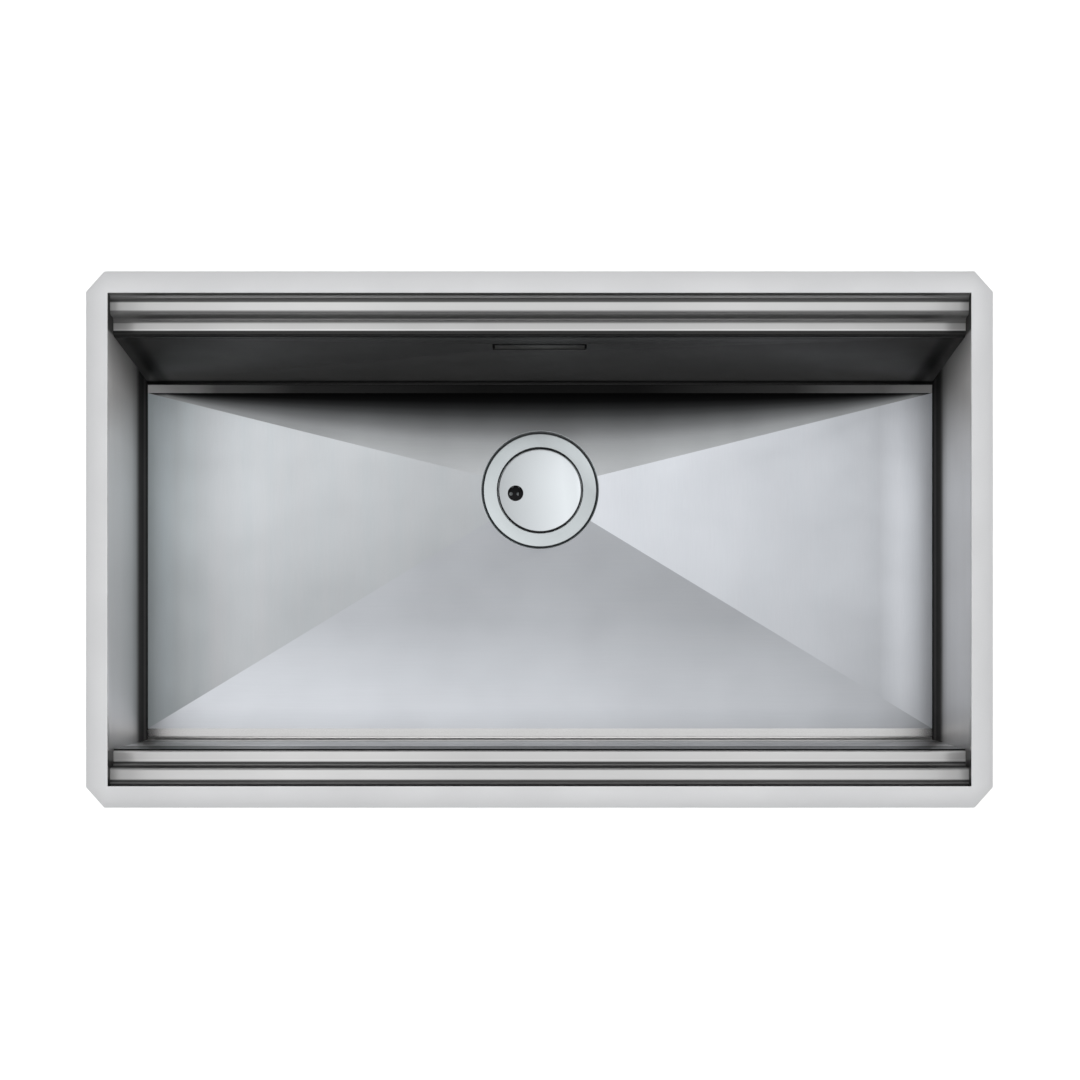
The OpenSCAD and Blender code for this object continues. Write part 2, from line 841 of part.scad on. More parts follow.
// Cup with rings of holes in its floor and wall
module strainer_basket() {
    hole = strainer_hole_d / 2;
    steel()
        at_drain()
            difference() {
                union() {
                    drain_ring(basket_r - basket_wall, basket_rim_r, rim_top, rim_under);
                    drain_ring(basket_r - basket_wall, basket_r, rim_top, basket_floor);
                    translate([0, 0, -basket_floor - basket_wall]) cylinder(r = basket_r, h = basket_wall);
                }
                translate([0, 0, -basket_floor - 2 * basket_wall])
                    cylinder(r = stem_r + thread_gap, h = 3 * basket_wall);
                for (ring = hole_rings, i = [0 : 6 * ring - 1])
                    rotate([0, 0, 60 * i / ring])
                        translate([ring * ring_pitch, 0, -basket_floor - 2 * basket_wall])
                            cylinder(r = hole, h = 3 * basket_wall, $fn = 24);
                for (row = hole_rows, i = [0 : 11])
                    rotate([0, 0, 30 * i + 15 * row])
                        translate([basket_r - 3 * basket_wall, 0, -rim_under - row * basket_depth / 3])
                            rotate([0, 90, 0]) cylinder(r = hole, h = 5 * basket_wall, $fn = 24);
            }
}

// Rubber stopper under the basket that closes the outlet
module basket_plug() {
    neck_top = basket_floor + basket_wall;
    rubber()
        at_drain()
            difference() {
                union() {
                    translate([0, 0, -plug_under]) cylinder(r = plug_r, h = plug_t);
                    translate([0, 0, -plug_under]) cylinder(r = plug_neck_r, h = plug_under - neck_top);
                }
                translate([0, 0, -plug_under + plug_skin])
                    cylinder(r = stem_r + thread_gap, h = plug_under);
            }
}

// Pin with a collar on the basket's floor and a knob to lift it by
module basket_stem() {
    foot = plug_under - plug_skin - stem_gap;
    steel()
        at_drain() {
            translate([0, 0, -foot]) cylinder(r = stem_r, h = foot - basket_floor + stem_height);
            translate([0, 0, -basket_floor]) cylinder(r = stem_collar_r, h = stem_collar_t);
            translate([0, 0, -basket_floor + stem_height - knob_t]) cylinder(r = knob_r, h = knob_t);
        }
}

// Domed disc with a finger hole
module drain_cover() {
    steps = 8;
    steel()
        at_drain()
            difference() {
                rotate_extrude()
                    polygon(concat(
                        [[0, -cover_under], [cover_r, -cover_under]],
                        [for (i = [steps : -1 : 0])
                            [cover_r * i / steps, -cover_sink + cover_dome * (1 - pow(i / steps, 2))]]
                    ));
                rotate([0, 0, finger_hole_turn])
                    translate([finger_hole_out, 0, -2 * cover_under])
                        cylinder(r = finger_hole_d / 2, h = 4 * cover_under);
            }
}

// Three feet that stand on the basket's rim
module cover_feet() {
    rubber()
        at_drain()
            for (i = [0 : 2])
                rotate([0, 0, 90 + 120 * i])
                    translate([foot_out, 0, -rim_top + rest_gap])
                        cylinder(r = foot_d / 2, h = rim_top - rest_gap - cover_under);
}

mounting_flange();
rear_ledge_rail();
front_ledge_rail();
rear_wall();
front_wall();
left_wall();
right_wall();
floor_pan();
sound_pad_rear();
sound_pad_front();
sound_pad_left();
sound_pad_right();
sound_pad_floor_left();
sound_pad_floor_right();
overflow_cover();
overflow_gasket();
overflow_housing();
overflow_studs();
overflow_nuts();
overflow_hose();
hose_nut_top();
hose_nut_bottom();
drain_flange();
flange_seal();
body_seal();
waste_chamber();
waste_funnel();
centre_screw();
strainer_basket();
basket_plug();
basket_stem();
drain_cover();
cover_feet();
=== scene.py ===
import bpy
import bmesh
import json
import math
from types import SimpleNamespace as Sizes
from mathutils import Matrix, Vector


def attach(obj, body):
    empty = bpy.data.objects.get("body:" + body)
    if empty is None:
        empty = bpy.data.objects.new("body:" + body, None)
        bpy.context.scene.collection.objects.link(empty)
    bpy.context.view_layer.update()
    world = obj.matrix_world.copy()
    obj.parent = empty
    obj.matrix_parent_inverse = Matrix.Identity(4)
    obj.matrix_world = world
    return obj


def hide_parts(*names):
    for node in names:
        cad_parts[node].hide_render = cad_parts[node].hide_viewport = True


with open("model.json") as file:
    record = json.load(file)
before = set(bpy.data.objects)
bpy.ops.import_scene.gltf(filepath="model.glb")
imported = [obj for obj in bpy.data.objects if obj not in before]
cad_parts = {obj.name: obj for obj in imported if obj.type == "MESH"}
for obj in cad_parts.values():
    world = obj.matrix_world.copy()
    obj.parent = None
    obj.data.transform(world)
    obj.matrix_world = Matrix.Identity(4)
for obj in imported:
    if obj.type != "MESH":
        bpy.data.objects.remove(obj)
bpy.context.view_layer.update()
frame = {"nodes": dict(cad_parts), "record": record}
mm = 0.001

# The camera hangs over the front half of the bowl and looks straight down. Its shift brings the
# sink back to the middle of the picture.
view = {"place": (0.0055, -0.2144, 2.171), "lens": 78.16, "sensor": 36, "shift": (-0.005, 0.2139), "reach": 60}

studio = {
    "boxPlace": (0, 0.25, 2.5), "boxSize": (4.4, 3.4), "boxPower": 60,
    "room": 0.03, "paint": 0.86, "paintRough": 0.9,
    "wallOut": 6.0, "wallHigh": 3.4, "wallGlow": 0.55,
    "floorGlow": 0.6, "floorLow": -0.345,
}

# Heights and distances from the middle, in millimetres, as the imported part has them
bowlSizes = {
    "halfLength": 400, "halfWidth": 228.5, "sheet": 1.5, "lean": 3.5,
    "riserY": 210.5, "lipY": 193.5, "lipZ": -37, "floorZ": -220, "fall": 5,
    "fallY": 170.985, "footY": 179.485, "footBend": 3,
}
drainPlace = {"x": 0, "y": 72.5, "z": -225}
bowl, drain = Sizes(**bowlSizes), Sizes(**drainPlace)


def linkObject(name, data):
    obj = bpy.data.objects.new(name, data)
    bpy.context.scene.collection.objects.link(obj)
    return obj


def setCamera():
    data = bpy.data.cameras.new("viewCamera")
    data.lens = view["lens"]
    data.sensor_width = view["sensor"]
    data.shift_x, data.shift_y = view["shift"]
    data.clip_end = view["reach"]
    camera = linkObject("viewCamera", data)
    camera.location = view["place"]
    bpy.context.scene.camera = camera


def stagePlane(name, corners, glow):
    mesh = bpy.data.meshes.new(name)
    mesh.from_pydata(corners, [], [(0, 1, 2, 3)])
    mat = bpy.data.materials.new(name + "Paint")
    mat.use_nodes = True
    shader = mat.node_tree.nodes["Principled BSDF"]
    shader.inputs["Base Color"].default_value = (*[studio["paint"]] * 3, 1)
    shader.inputs["Roughness"].default_value = studio["paintRough"]
    shader.inputs["Emission Color"].default_value = (1, 1, 1, 1)
    shader.inputs["Emission Strength"].default_value = glow
    mesh.materials.append(mat)
    linkObject(name, mesh)


def setStudio():
    s = Sizes(**studio)
    data = bpy.data.lights.new("topBox", "AREA")
    data.shape = "RECTANGLE"
    data.size, data.size_y = s.boxSize
    data.energy = s.boxPower
    lamp = linkObject("topBox", data)
    lamp.location = s.boxPlace
    lamp.rotation_euler = Vector((0, 0, -s.boxPlace[2])).to_track_quat("-Z", "Y").to_euler()
    corners = [(-s.wallOut, -s.wallOut), (s.wallOut, -s.wallOut), (s.wallOut, s.wallOut), (-s.wallOut, s.wallOut)]
    stagePlane("studioFloor", [(*corner, s.floorLow) for corner in corners], s.floorGlow)
    for i in range(4):
        a, b = corners[i], corners[(i + 1) % 4]
        wall = [(*a, s.floorLow), (*a, s.wallHigh), (*b, s.wallHigh), (*b, s.floorLow)]
        stagePlane("studioWall%d" % (i + 1), wall, s.wallGlow)
    world = bpy.data.worlds.new("studioRoom")
    world.use_nodes = True
    world.node_tree.nodes["Background"].inputs["Color"].default_value = (1, 1, 1, 1)
    world.node_tree.nodes["Background"].inputs["Strength"].default_value = s.room
    bpy.context.scene.world = world
    bpy.context.scene.view_settings.view_transform = "Standard"


setCamera()
setStudio()
print("camera, lights and room")


# Group with named sockets, each given as its label, its kind and perhaps its value
def newGroup(name, kind, inputs, outputs):
    tree = bpy.data.node_groups.new(name, kind)
    for way, sockets in (("INPUT", inputs), ("OUTPUT", outputs)):
        for label, socketKind, *value in sockets:
            socket = tree.interface.new_socket(name=label, in_out=way, socket_type="NodeSocket" + socketKind)
            if value:
                socket.default_value = value[0]
    tree.nodes.new("NodeGroupInput").name = "given"
    tree.nodes.new("NodeGroupOutput").name = "result"
    return tree


# Sets an input to a value, or links it to a socket, a node's first output or a named input of the
# group. A list is linked one after the other.
def feed(tree, value, socket):
    if isinstance(value, list):
        for one in value:
            feed(tree, one, socket)
        return
    if isinstance(value, str):
        value = tree.nodes["given"].outputs[value]
    if isinstance(value, bpy.types.Node):
        value = value.outputs[0]
    if isinstance(value, bpy.types.NodeSocket):
        tree.links.new(value, socket)
    else:
        socket.default_value = value


def addNode(tree, kind, spaced=(), **values):
    node = tree.nodes.new(kind)
    for key, value in {**values, **dict(spaced)}.items():
        if hasattr(node, key):
            setattr(node, key, value)
        else:
            feed(tree, value, node.inputs[key])
    return node


def mathNode(tree, operation, *terms, kind="ShaderNodeMath", output=0):
    node = addNode(tree, kind, operation=operation)
    for i, term in enumerate(terms):
        feed(tree, term, node.inputs[i])
    return node.outputs[output]


def endGroup(tree, **ends):
    for label, value in ends.items():
        feed(tree, value, tree.nodes["result"].inputs[label])
    return tree


brushLook = {"broadShare": 0.08, "cast": (1, 0.4, 0.3), "smudge": 14, "lineGloss": 0.06, "lineHeight": 0.00005}
mouldLook = {"patch": 35, "dark": 0.75, "light": 1.35, "worn": 30, "wornShare": 0.15, "grainHeight": 0.0001}


# Fine lines: noise that is thin across the brushing and drawn out along it
def brushGroup():
    tree = newGroup("brushLines", "ShaderNodeTree", [
        ("Coordinate", "Vector"), ("Stretch", "Vector", (1, 1, 1)), ("Fineness", "Float", 1)],
        [("Fine", "Float"), ("Broad", "Float")])
    drawn = mathNode(tree, "MULTIPLY", "Coordinate", "Stretch", kind="ShaderNodeVectorMath")
    coarse = mathNode(tree, "MULTIPLY", "Fineness", brushLook["broadShare"])
    fine = addNode(tree, "ShaderNodeTexNoise", Vector=drawn, Scale="Fineness", Detail=3, Roughness=0.6)
    broad = addNode(tree, "ShaderNodeTexNoise", Vector=drawn, Scale=coarse, Detail=2, Roughness=0.5)
    return endGroup(tree, Fine=fine, Broad=broad)


# Soft clouds that make a finish a little uneven, as handling and washing do
def cloudGroup():
    tree = newGroup("handling", "ShaderNodeTree", [
        ("Coordinate", "Vector"), ("Size", "Float", 20), ("Low", "Float", 0), ("High", "Float", 1)],
        [("Value", "Float")])
    noise = addNode(tree, "ShaderNodeTexNoise", Vector="Coordinate", Scale="Size", Detail=4, Roughness=0.55)
    ends = {"From Min": 0.3, "From Max": 0.7, "To Min": "Low", "To Max": "High"}
    return endGroup(tree, Value=addNode(tree, "ShaderNodeMapRange", ends, Value=noise))


# Speckled grain of moulded plastic and rubber, as a height and a tint mask
def grainGroup():
    tree = newGroup("mouldGrain", "ShaderNodeTree", [("Coordinate", "Vector"), ("Size", "Float", 900)],
                    [("Height", "Float"), ("Tint", "Float")])
    grain = addNode(tree, "ShaderNodeTexVoronoi", Vector="Coordinate", Scale="Size")
    patch = addNode(tree, "ShaderNodeTexNoise", Vector="Coordinate", Scale=mouldLook["patch"], Detail=3)
    return endGroup(tree, Height=grain, Tint=patch)


shaderGroups = {"brush": brushGroup(), "cloud": cloudGroup(), "grain": grainGroup()}


def useGroup(tree, kind, coordinate, **values):
    return addNode(tree, "ShaderNodeGroup", node_tree=shaderGroups[kind], Coordinate=coordinate, **values)


def mixColor(tree, mask, low, high, blend="MIX"):
    low, high = [(*color, 1) if isinstance(color, tuple) else color for color in (low, high)]
    node = addNode(tree, "ShaderNodeMix", data_type="RGBA", blend_type=blend, Factor=mask, A=low, B=high)
    return node.outputs["Result"]


def scaled(color, factor):
    return tuple(min(1, c * factor) for c in color)


def linear(tone):
    share = tone / 255
    return share / 12.92 if share < 0.04045 else ((share + 0.055) / 1.055) ** 2.4


# Painted light and shade: greys along a direction, from 0 to 255 or as shares of the colour, each at a
# distance in millimetres. With narrow, the distance is from the edge and shrinks towards the bowl's ends.
def toneRamp(tree, where, along, stops, edge=0, narrow=0, shares=False, gain=1):
    distance = mathNode(tree, "DOT_PRODUCT", where, along, kind="ShaderNodeVectorMath", output="Value")
    if narrow:
        side = mathNode(tree, "DIVIDE", addNode(tree, "ShaderNodeSeparateXYZ", Vector=where), narrow * mm)
        thin = mathNode(tree, "SUBTRACT", 1, mathNode(tree, "MULTIPLY", side, side))
        distance = mathNode(tree, "DIVIDE", mathNode(tree, "ADD", distance, edge * mm),
                            mathNode(tree, "MAXIMUM", thin, 0.04))
    low, high = stops[0][0], stops[-1][0]
    span = addNode(tree, "ShaderNodeMapRange", {"From Min": low * mm, "From Max": high * mm}, Value=distance)
    ramp = addNode(tree, "ShaderNodeValToRGB", Fac=span)
    elements = ramp.color_ramp.elements
    while len(elements) < len(stops):
        elements.new(0.5)
    for i, (at, tone) in enumerate(stops):
        elements[i].position = (at - low) / (high - low)
    for i, (at, tone) in enumerate(stops):
        tones = tone if isinstance(tone, tuple) else (tone, tone, tone)
        elements[i].color = (*[min(1, gain * (t ** 2.2 if shares else linear(t))) for t in tones], 1)
    return ramp.outputs["Color"]


# Stops for toneRamp: painted greys of their own, and shares that take away from the colour under them as
# painted shade; the dull masks use shares to take metal away
def paintedGreysAlong(along, *stops, **more):
    return {"along": along, "stops": stops, **more}


def sharesAlong(along, *stops):
    return {"along": along, "stops": stops, "shares": True}


toRight, toBack, toFront, downwards = (1, 0, 0), (0, 1, 0), (0, -1, 0), (0, 0, -1)
# Painted light and shade for each piece, as greys and shares along a direction, and masks that take metal away
paintedShadeAndMetalRamps = {
    # Rails: painted highlights and dark lines across the coves and nosings, painted shade a little darker towards
    # the middle of the length; railEnds takes metal away at the ends
    "rearRail": paintedGreysAlong(
        toBack, (193.5, 60), (194.5, 50), (196.5, 62), (198.4, 36), (199.6, 222), (200.6, 192), (205.6, 190),
        (206.2, 130), (208, 132), (214.2, 128), (215, 202), (221.8, 204), (222.6, 104), (224, 72), (227.5, 150),
        (228.4, 130)),
    "frontRail": paintedGreysAlong(
        toFront, (194.8, 40), (196.3, 212), (197.3, 202), (203, 200), (204.4, 214), (206.4, 26), (208.4, 128),
        (210.4, 50), (211.5, 112), (213.6, 204), (221.6, 204), (223.4, 26), (225.4, 120), (227, 45), (228.5, 54)),
    "railAlong": sharesAlong(toRight, (-400, 1), (-200, 0.99), (-60, 0.93), (80, 0.93), (220, 0.97), (400, 0.99)),
    "railEnds": sharesAlong(toRight, (-400, 0.3), (-388, 0.6), (-365, 1), (365, 1), (388, 0.6), (400, 0.3)),
    # End walls: painted shade, lighter at the top with a dark band at the foot, darker at the front and rear corners
    # and towards the rear, the right wall a little darker than the left; endWallFoot and endWallRear take metal away
    # where that painted dark is
    "endWall": paintedGreysAlong(
        downwards, (0, 176), (6, 170), (64, 168), (107, 160), (129, 150), (136, 140), (150, 124), (162, 84),
        (171, 52), (192, 44), (203, 64), (210, 50), (216, 34), gain=2.5),
    "endWallAlong": sharesAlong(
        toBack, (-196, 0.35), (-193, 0.95), (-150, 1), (50, 1), (100, 1), (150, 0.9), (185, 0.68), (193, 0.62),
        (196, 0.3)),
    "endWallSides": sharesAlong(toRight, (-400, 1), (400, 0.94)),
    "endWallFoot": sharesAlong(
        downwards, (0, 1), (140, 1), (151, 0.9), (162, 0.5), (172, 0.15), (192, 0.08), (203, 0.16), (210, 0.08)),
    "endWallRear": sharesAlong(toBack, (60, 1), (110, 0.8), (150, 0.5), (190, 0.4)),
    # Rear wall: painted shade and reflection, dark overall, lighter lower down, nearly black at the foot, with
    # darker bands near its two ends
    "rearWall": paintedGreysAlong(downwards, (37, 66), (80, 74), (140, 92), (200, 116), (212, 120), (216, 40), (222, 20)),
    "rearWallAlong": sharesAlong(
        toRight, (-400, 1), (-394, 0.9), (-389, 0.25), (-382, 0.3), (-374, 0.92), (-350, 0.97), (350, 0.97),
        (374, 0.92), (382, 0.3), (389, 0.25), (394, 0.9), (400, 1)),
    # Front wall: painted highlights and dark lines down the wall, lightest towards the foot
    "frontWall": paintedGreysAlong(
        downwards, (37, 50), (50, 125), (60, 80), (82, 78), (95, 155), (140, 130), (158, 147), (172, 92),
        (190, 205), (220, 208), gain=3.4),
    # Painted shadow of the rear wall: the rear floor triangle nearly black at its rear edge and lightening towards
    # the drain, the dark band narrowing towards the ends
    "floorRear": paintedGreysAlong(
        toFront, (2, 9), (9, 17), (16, 42), (23.5, 70), (38, 119), (52, 159), (73, 184), (90, 194),
        edge=bowl.fallY, narrow=388),
    # Floor triangles: painted light near the end walls and the front edge, painted shade darker towards the front on
    # the side triangles, towards the drain on the front one and towards the right; floorLeftCast makes the floor
    # slightly cooler near the left end wall; floorLeftEnd and floorRightEnd take metal away near the end walls
    "floorLeft": paintedGreysAlong(
        toRight, (-400, 255), (-390, 250), (-371, 218), (-351, 212), (-330, 220), (-310, 224), (-290, 226),
        (-249, 220), (-127, 207), (-60, 200)),
    "floorLeftAcross": sharesAlong(
        toBack, (-160, 0.8), (-90, 0.82), (-27, 0.84), (40, 0.895), (100, 0.93), (135, 0.98), (165, 1.0)),
    "floorLeftCast": sharesAlong(
        toRight, (-400, (0.975, 1.0, 1.0)), (-385, (0.972, 0.995, 1.0)), (-365, (0.985, 1.0, 1.0)),
        (-335, (1.0, 1.0, 1.0))),
    "floorLeftEnd": sharesAlong(toRight, (-400, 0.7), (-385, 0.8), (-355, 1)),
    "floorRight": paintedGreysAlong(
        toRight, (60, 232), (163, 226), (224, 217), (285, 212), (346, 210), (368, 243), (385, 255), (400, 255)),
    "floorRightAcross": sharesAlong(
        toBack, (-160, 0.84), (-90, 0.87), (-27, 0.905), (40, 0.925), (110, 0.95), (140, 0.985), (165, 1.0)),
    "floorRightEnd": sharesAlong(toRight, (365, 1), (388, 0.9), (400, 0.8)),
    "floorFront": paintedGreysAlong(
        toBack, (-170, 214), (-150, 220), (-120, 211), (-90, 202), (-60, 192), (-30, 190), (0, 188), (20, 187)),
    "floorFrontAcross": sharesAlong(
        toRight, (-380, 1.0), (-260, 0.98), (-143, 0.945), (0, 0.93), (163, 0.87), (300, 0.835)),
    # Rear border strip: painted shade, dark in the middle and lighter towards the ends; stripEnds takes metal away
    # near the ends
    "stripRear": paintedGreysAlong(
        toRight, (-400, 250), (-370, 180), (-330, 95), (-250, 48), (-60, 28), (100, 28), (260, 60), (350, 120),
        (400, 200)),
    "stripEnds": sharesAlong(toRight, (-400, 0.4), (-360, 0.7), (-300, 1), (300, 1), (360, 0.7), (400, 0.4)),
    # Drain ring: painted highlights, lighter at two opposite sides
    "ring": paintedGreysAlong((0.707, 0.707, 0), (-57, 210), (-44, 203), (0, 200), (36, 190), (50, 204), (57, 214)),
    # Cover: painted highlight, lighter towards the right and darker towards the left
    "cover": paintedGreysAlong(
        (0.995, 0.1, 0), (-42, 182), (-30, 192), (-8, 208), (0, 214), (24, 230), (36, 226), (42, 238)),
    # Overflow plate: painted shade, much darker along its upper and lower edges
    "plate": sharesAlong(downwards, (63, 0.1), (66, 0.25), (67.5, 1), (79.5, 1), (81, 0.25), (84, 0.1)),
}


# Multiplies a colour by the named ramps: painted light and shade on the base colour, and masks on the metal
def shaded(tree, where, color, names):
    for name in names:
        color = mixColor(tree, 1.0, color, toneRamp(tree, where, **paintedShadeAndMetalRamps[name]), "MULTIPLY")
    return color


def newMaterial(name):
    mat = bpy.data.materials.new(name)
    mat.use_nodes = True
    where = addNode(mat.node_tree, "ShaderNodeTexCoord").outputs["Object"]
    return mat, mat.node_tree, where, mat.node_tree.nodes["Principled BSDF"].inputs


# Brushed steel: fine lines drawn out along the brushing, soft clouds in the gloss, and painted light and
# shade from the ramps multiplied into the colour. Where dull takes metal away, nothing is mirrored at a flat angle.
def steelMaterial(name, tint=(1, 1, 1), rough=0.35, metallic=1.0, stretch=(1, 1, 1), fineness=900,
                  contrast=0.12, cloud=0.10, bump=0.15, bands=0.0, centre=(0, 0, 0), paintedRamps=(), dull=()):
    mat, tree, where, shader = newMaterial(name)
    where = addNode(tree, "ShaderNodeMapping", Vector=where, Location=tuple(-c * mm for c in centre)).outputs[0]
    lines = useGroup(tree, "brush", where, Stretch=stretch, Fineness=fineness)
    fine = lines.outputs["Fine"]
    color = mixColor(tree, fine, scaled(tint, 1 - contrast), scaled(tint, 1 + contrast))
    if bands:
        cast = tuple(1 - bands * share for share in brushLook["cast"])
        cast = mixColor(tree, lines.outputs["Broad"], (1, 1, 1), cast)
        color = mixColor(tree, 1.0, color, cast, "MULTIPLY")
    feed(tree, shaded(tree, where, color, paintedRamps), shader["Base Color"])
    shader["Metallic"].default_value = metallic
    if dull:
        shader["Specular IOR Level"].default_value = 0
        feed(tree, shaded(tree, where, (1, 1, 1), dull), shader["Metallic"])
    smudge = useGroup(tree, "cloud", where, Size=brushLook["smudge"], Low=rough - cloud * rough,
                      High=rough + cloud * rough)
    feed(tree, mathNode(tree, "MULTIPLY_ADD", fine, brushLook["lineGloss"], smudge), shader["Roughness"])
    relief = addNode(tree, "ShaderNodeBump", Strength=bump, Distance=brushLook["lineHeight"], Height=fine)
    feed(tree, relief, shader["Normal"])
    return mat


def mouldedMaterial(name, tint, rough, grain=900, bump=0.25):
    mat, tree, where, shader = newMaterial(name)
    m = Sizes(**mouldLook)
    speckle = useGroup(tree, "grain", where, Size=grain)
    color = mixColor(tree, speckle.outputs["Tint"], scaled(tint, m.dark), scaled(tint, m.light))
    feed(tree, color, shader["Base Color"])
    low, high = rough * (1 - m.wornShare), rough * (1 + m.wornShare)
    feed(tree, useGroup(tree, "cloud", where, Size=m.worn, Low=low, High=high), shader["Roughness"])
    relief = addNode(tree, "ShaderNodeBump", Strength=bump, Distance=m.grainHeight, Height=speckle)
    feed(tree, relief, shader["Normal"])
    return mat


lengthwise, across = (0.02, 1, 1), (1, 0.05, 1)
atDrain = (drain.x, drain.y, drain.z)
finishes = {
    "flange": steelMaterial("flangeSatin", (0.735, 0.74, 0.75), 0.5, 0.6, fineness=700, contrast=0.02, bump=0.1),
    "rearRail": steelMaterial("rearRailSteel", rough=0.3, stretch=lengthwise, contrast=0.08,
                              paintedRamps=["rearRail", "railAlong"], dull=["railEnds"]),
    "frontRail": steelMaterial("frontRailSteel", rough=0.3, stretch=lengthwise, contrast=0.08,
                               paintedRamps=["frontRail", "railAlong"], dull=["railEnds"]),
    "rearWall": steelMaterial("rearWallSteel", rough=0.45, metallic=0.5, stretch=lengthwise, contrast=0.05,
                              paintedRamps=["rearWall", "rearWallAlong"]),
    "frontWall": steelMaterial("frontWallSteel", (1, 0.98, 0.965), stretch=lengthwise, paintedRamps=["frontWall"]),
    "endWall": steelMaterial("endWallSteel", (1, 0.972, 0.96), stretch=(1, 0.02, 1),
                             paintedRamps=["endWall", "endWallAlong", "endWallSides"],
                             dull=["endWallFoot", "endWallRear"]),
    "outside": steelMaterial("outsideSteel", (0.40, 0.41, 0.42), 0.45, 0.9, stretch=lengthwise, contrast=0.09,
                             bump=0.25),
    "floorRear": steelMaterial("floorRearSteel", (0.90, 0.93, 0.965), 0.4, stretch=lengthwise, contrast=0.06,
                               paintedRamps=["floorRear"]),
    "floorLeft": steelMaterial("floorLeftSteel", (0.89, 0.905, 0.935), 0.32, stretch=across, contrast=0.04,
                               bands=0.08, paintedRamps=["floorLeft", "floorLeftAcross", "floorLeftCast"],
                               dull=["floorLeftEnd"]),
    "floorRight": steelMaterial("floorRightSteel", (0.885, 0.91, 0.965), 0.32, stretch=across, contrast=0.04,
                                bands=0.03, paintedRamps=["floorRight", "floorRightAcross"], dull=["floorRightEnd"]),
    "floorFront": steelMaterial("floorFrontSteel", (0.885, 0.91, 0.965), 0.32, stretch=lengthwise, contrast=0.04,
                                bands=0.03, paintedRamps=["floorFront", "floorFrontAcross"]),
    "stripFront": steelMaterial("stripFrontSteel", (0.50, 0.50, 0.50), 0.2, stretch=lengthwise, contrast=0.05),
    "stripRear": steelMaterial("stripRearSteel", stretch=lengthwise, contrast=0.05, paintedRamps=["stripRear"],
                               dull=["stripEnds"]),
    "ring": steelMaterial("drainRingSteel", (0.89, 0.955, 0.985), contrast=0.03, bump=0.03, centre=atDrain,
                          paintedRamps=["ring"]),
    "cover": steelMaterial("coverSteel", (0.83, 0.875, 0.905), 0.27, contrast=0.015, cloud=0.04, bump=0.02,
                           centre=atDrain, paintedRamps=["cover"]),
    # Painted shade: the overflow plate is given near-black steel for the dark of the overflow slot, with painted
    # darker edges
    "plate": steelMaterial("plateSteel", (0.15, 0.145, 0.14), 0.4, 0.9, stretch=lengthwise, paintedRamps=["plate"]),
    # Painted shade: near-black steel on the basket, which shows through the cover's finger hole as the dark of the
    # drain
    "basket": steelMaterial("basketSteel", (0.1, 0.1, 0.105), 0.55, contrast=0.05, centre=atDrain),
    "plain": steelMaterial("plainSteel", (0.62, 0.63, 0.64), 0.30, contrast=0.05),
    "pad": mouldedMaterial("padRubber", (0.045, 0.045, 0.05), 0.75, grain=500, bump=0.5),
    "seal": mouldedMaterial("sealRubber", (0.03, 0.03, 0.03), 0.6),
    "black": mouldedMaterial("blackPlastic", (0.035, 0.036, 0.038), 0.42),
    "grey": mouldedMaterial("greyPlastic", (0.17, 0.17, 0.18), 0.5),
}
print("materials")


# Rounds the corners of a closed outline; a third number is a corner's own radius
def rounded(points, radius=0.3, steps=4):
    smooth = []
    for i, point in enumerate(points):
        r = point[2] if len(point) > 2 else radius
        p = Vector(point[:2])
        a = Vector(points[i - 1][:2]) - p
        b = Vector(points[(i + 1) % len(points)][:2]) - p
        angle = a.angle(b)
        if r <= 0 or angle > math.radians(176):          # already straight
            smooth.append(p)
            continue
        reach = min(r / math.tan(angle / 2), 0.48 * a.length, 0.48 * b.length)
        a.normalize()
        b.normalize()
        for k in range(steps + 1):
            t = k / steps
            smooth.append((p + a * reach) * (1 - t) ** 2 + p * 2 * t * (1 - t) + (p + b * reach) * t * t)
    return [(v.x, v.y) for v in smooth]


def arcPoints(cx, cy, r, start, end, steps):
    turns = [math.radians(start + (end - start) * k / steps) for k in range(steps + 1)]
    return [(cx + r * math.cos(turn), cy + r * math.sin(turn)) for turn in turns]


# Makes changes to a mesh and turns its faces outwards
def reworked(mesh, *changes):
    work = bmesh.new()
    work.from_mesh(mesh)
    for change in changes:
        change(work)
    bmesh.ops.recalc_face_normals(work, faces=work.faces)
    work.to_mesh(mesh)
    work.free()
    return mesh


def meshObject(name, points, faces):
    mesh = bpy.data.meshes.new(name)
    mesh.from_pydata([Vector(p) * mm for p in points], [], faces)
    reworked(mesh, lambda work: bmesh.ops.remove_doubles(work, verts=work.verts, dist=1e-6),
             lambda work: bmesh.ops.dissolve_degenerate(work, edges=work.edges, dist=1e-7))
    return linkObject(name, mesh)


def finalMesh(obj):
    bpy.context.view_layer.update()
    return bpy.data.meshes.new_from_object(obj.evaluated_get(bpy.context.evaluated_depsgraph_get()))


def settle(obj):
    mesh = finalMesh(obj)
    obj.modifiers.clear()
    obj.data = mesh
    return obj


def softEdges(obj, width, segments=2, angle=35):
    bevel = obj.modifiers.new("softEdges", "BEVEL")
    bevel.width = width * mm
    bevel.segments = segments
    bevel.limit_method = "ANGLE"
    bevel.angle_limit = math.radians(angle)
    return settle(obj)


def carve(obj, operation, others):
    for other in others:
        change = obj.modifiers.new(operation, "BOOLEAN")
        change.operation = operation
        change.solver = "EXACT"
        change.object = other
    settle(obj)
    for other in others:
        bpy.data.objects.remove(other)
    return obj


def cutAway(obj, *others):
    return carve(obj, "DIFFERENCE", others)


def merge(obj, *others):
    return carve(obj, "UNION", others)


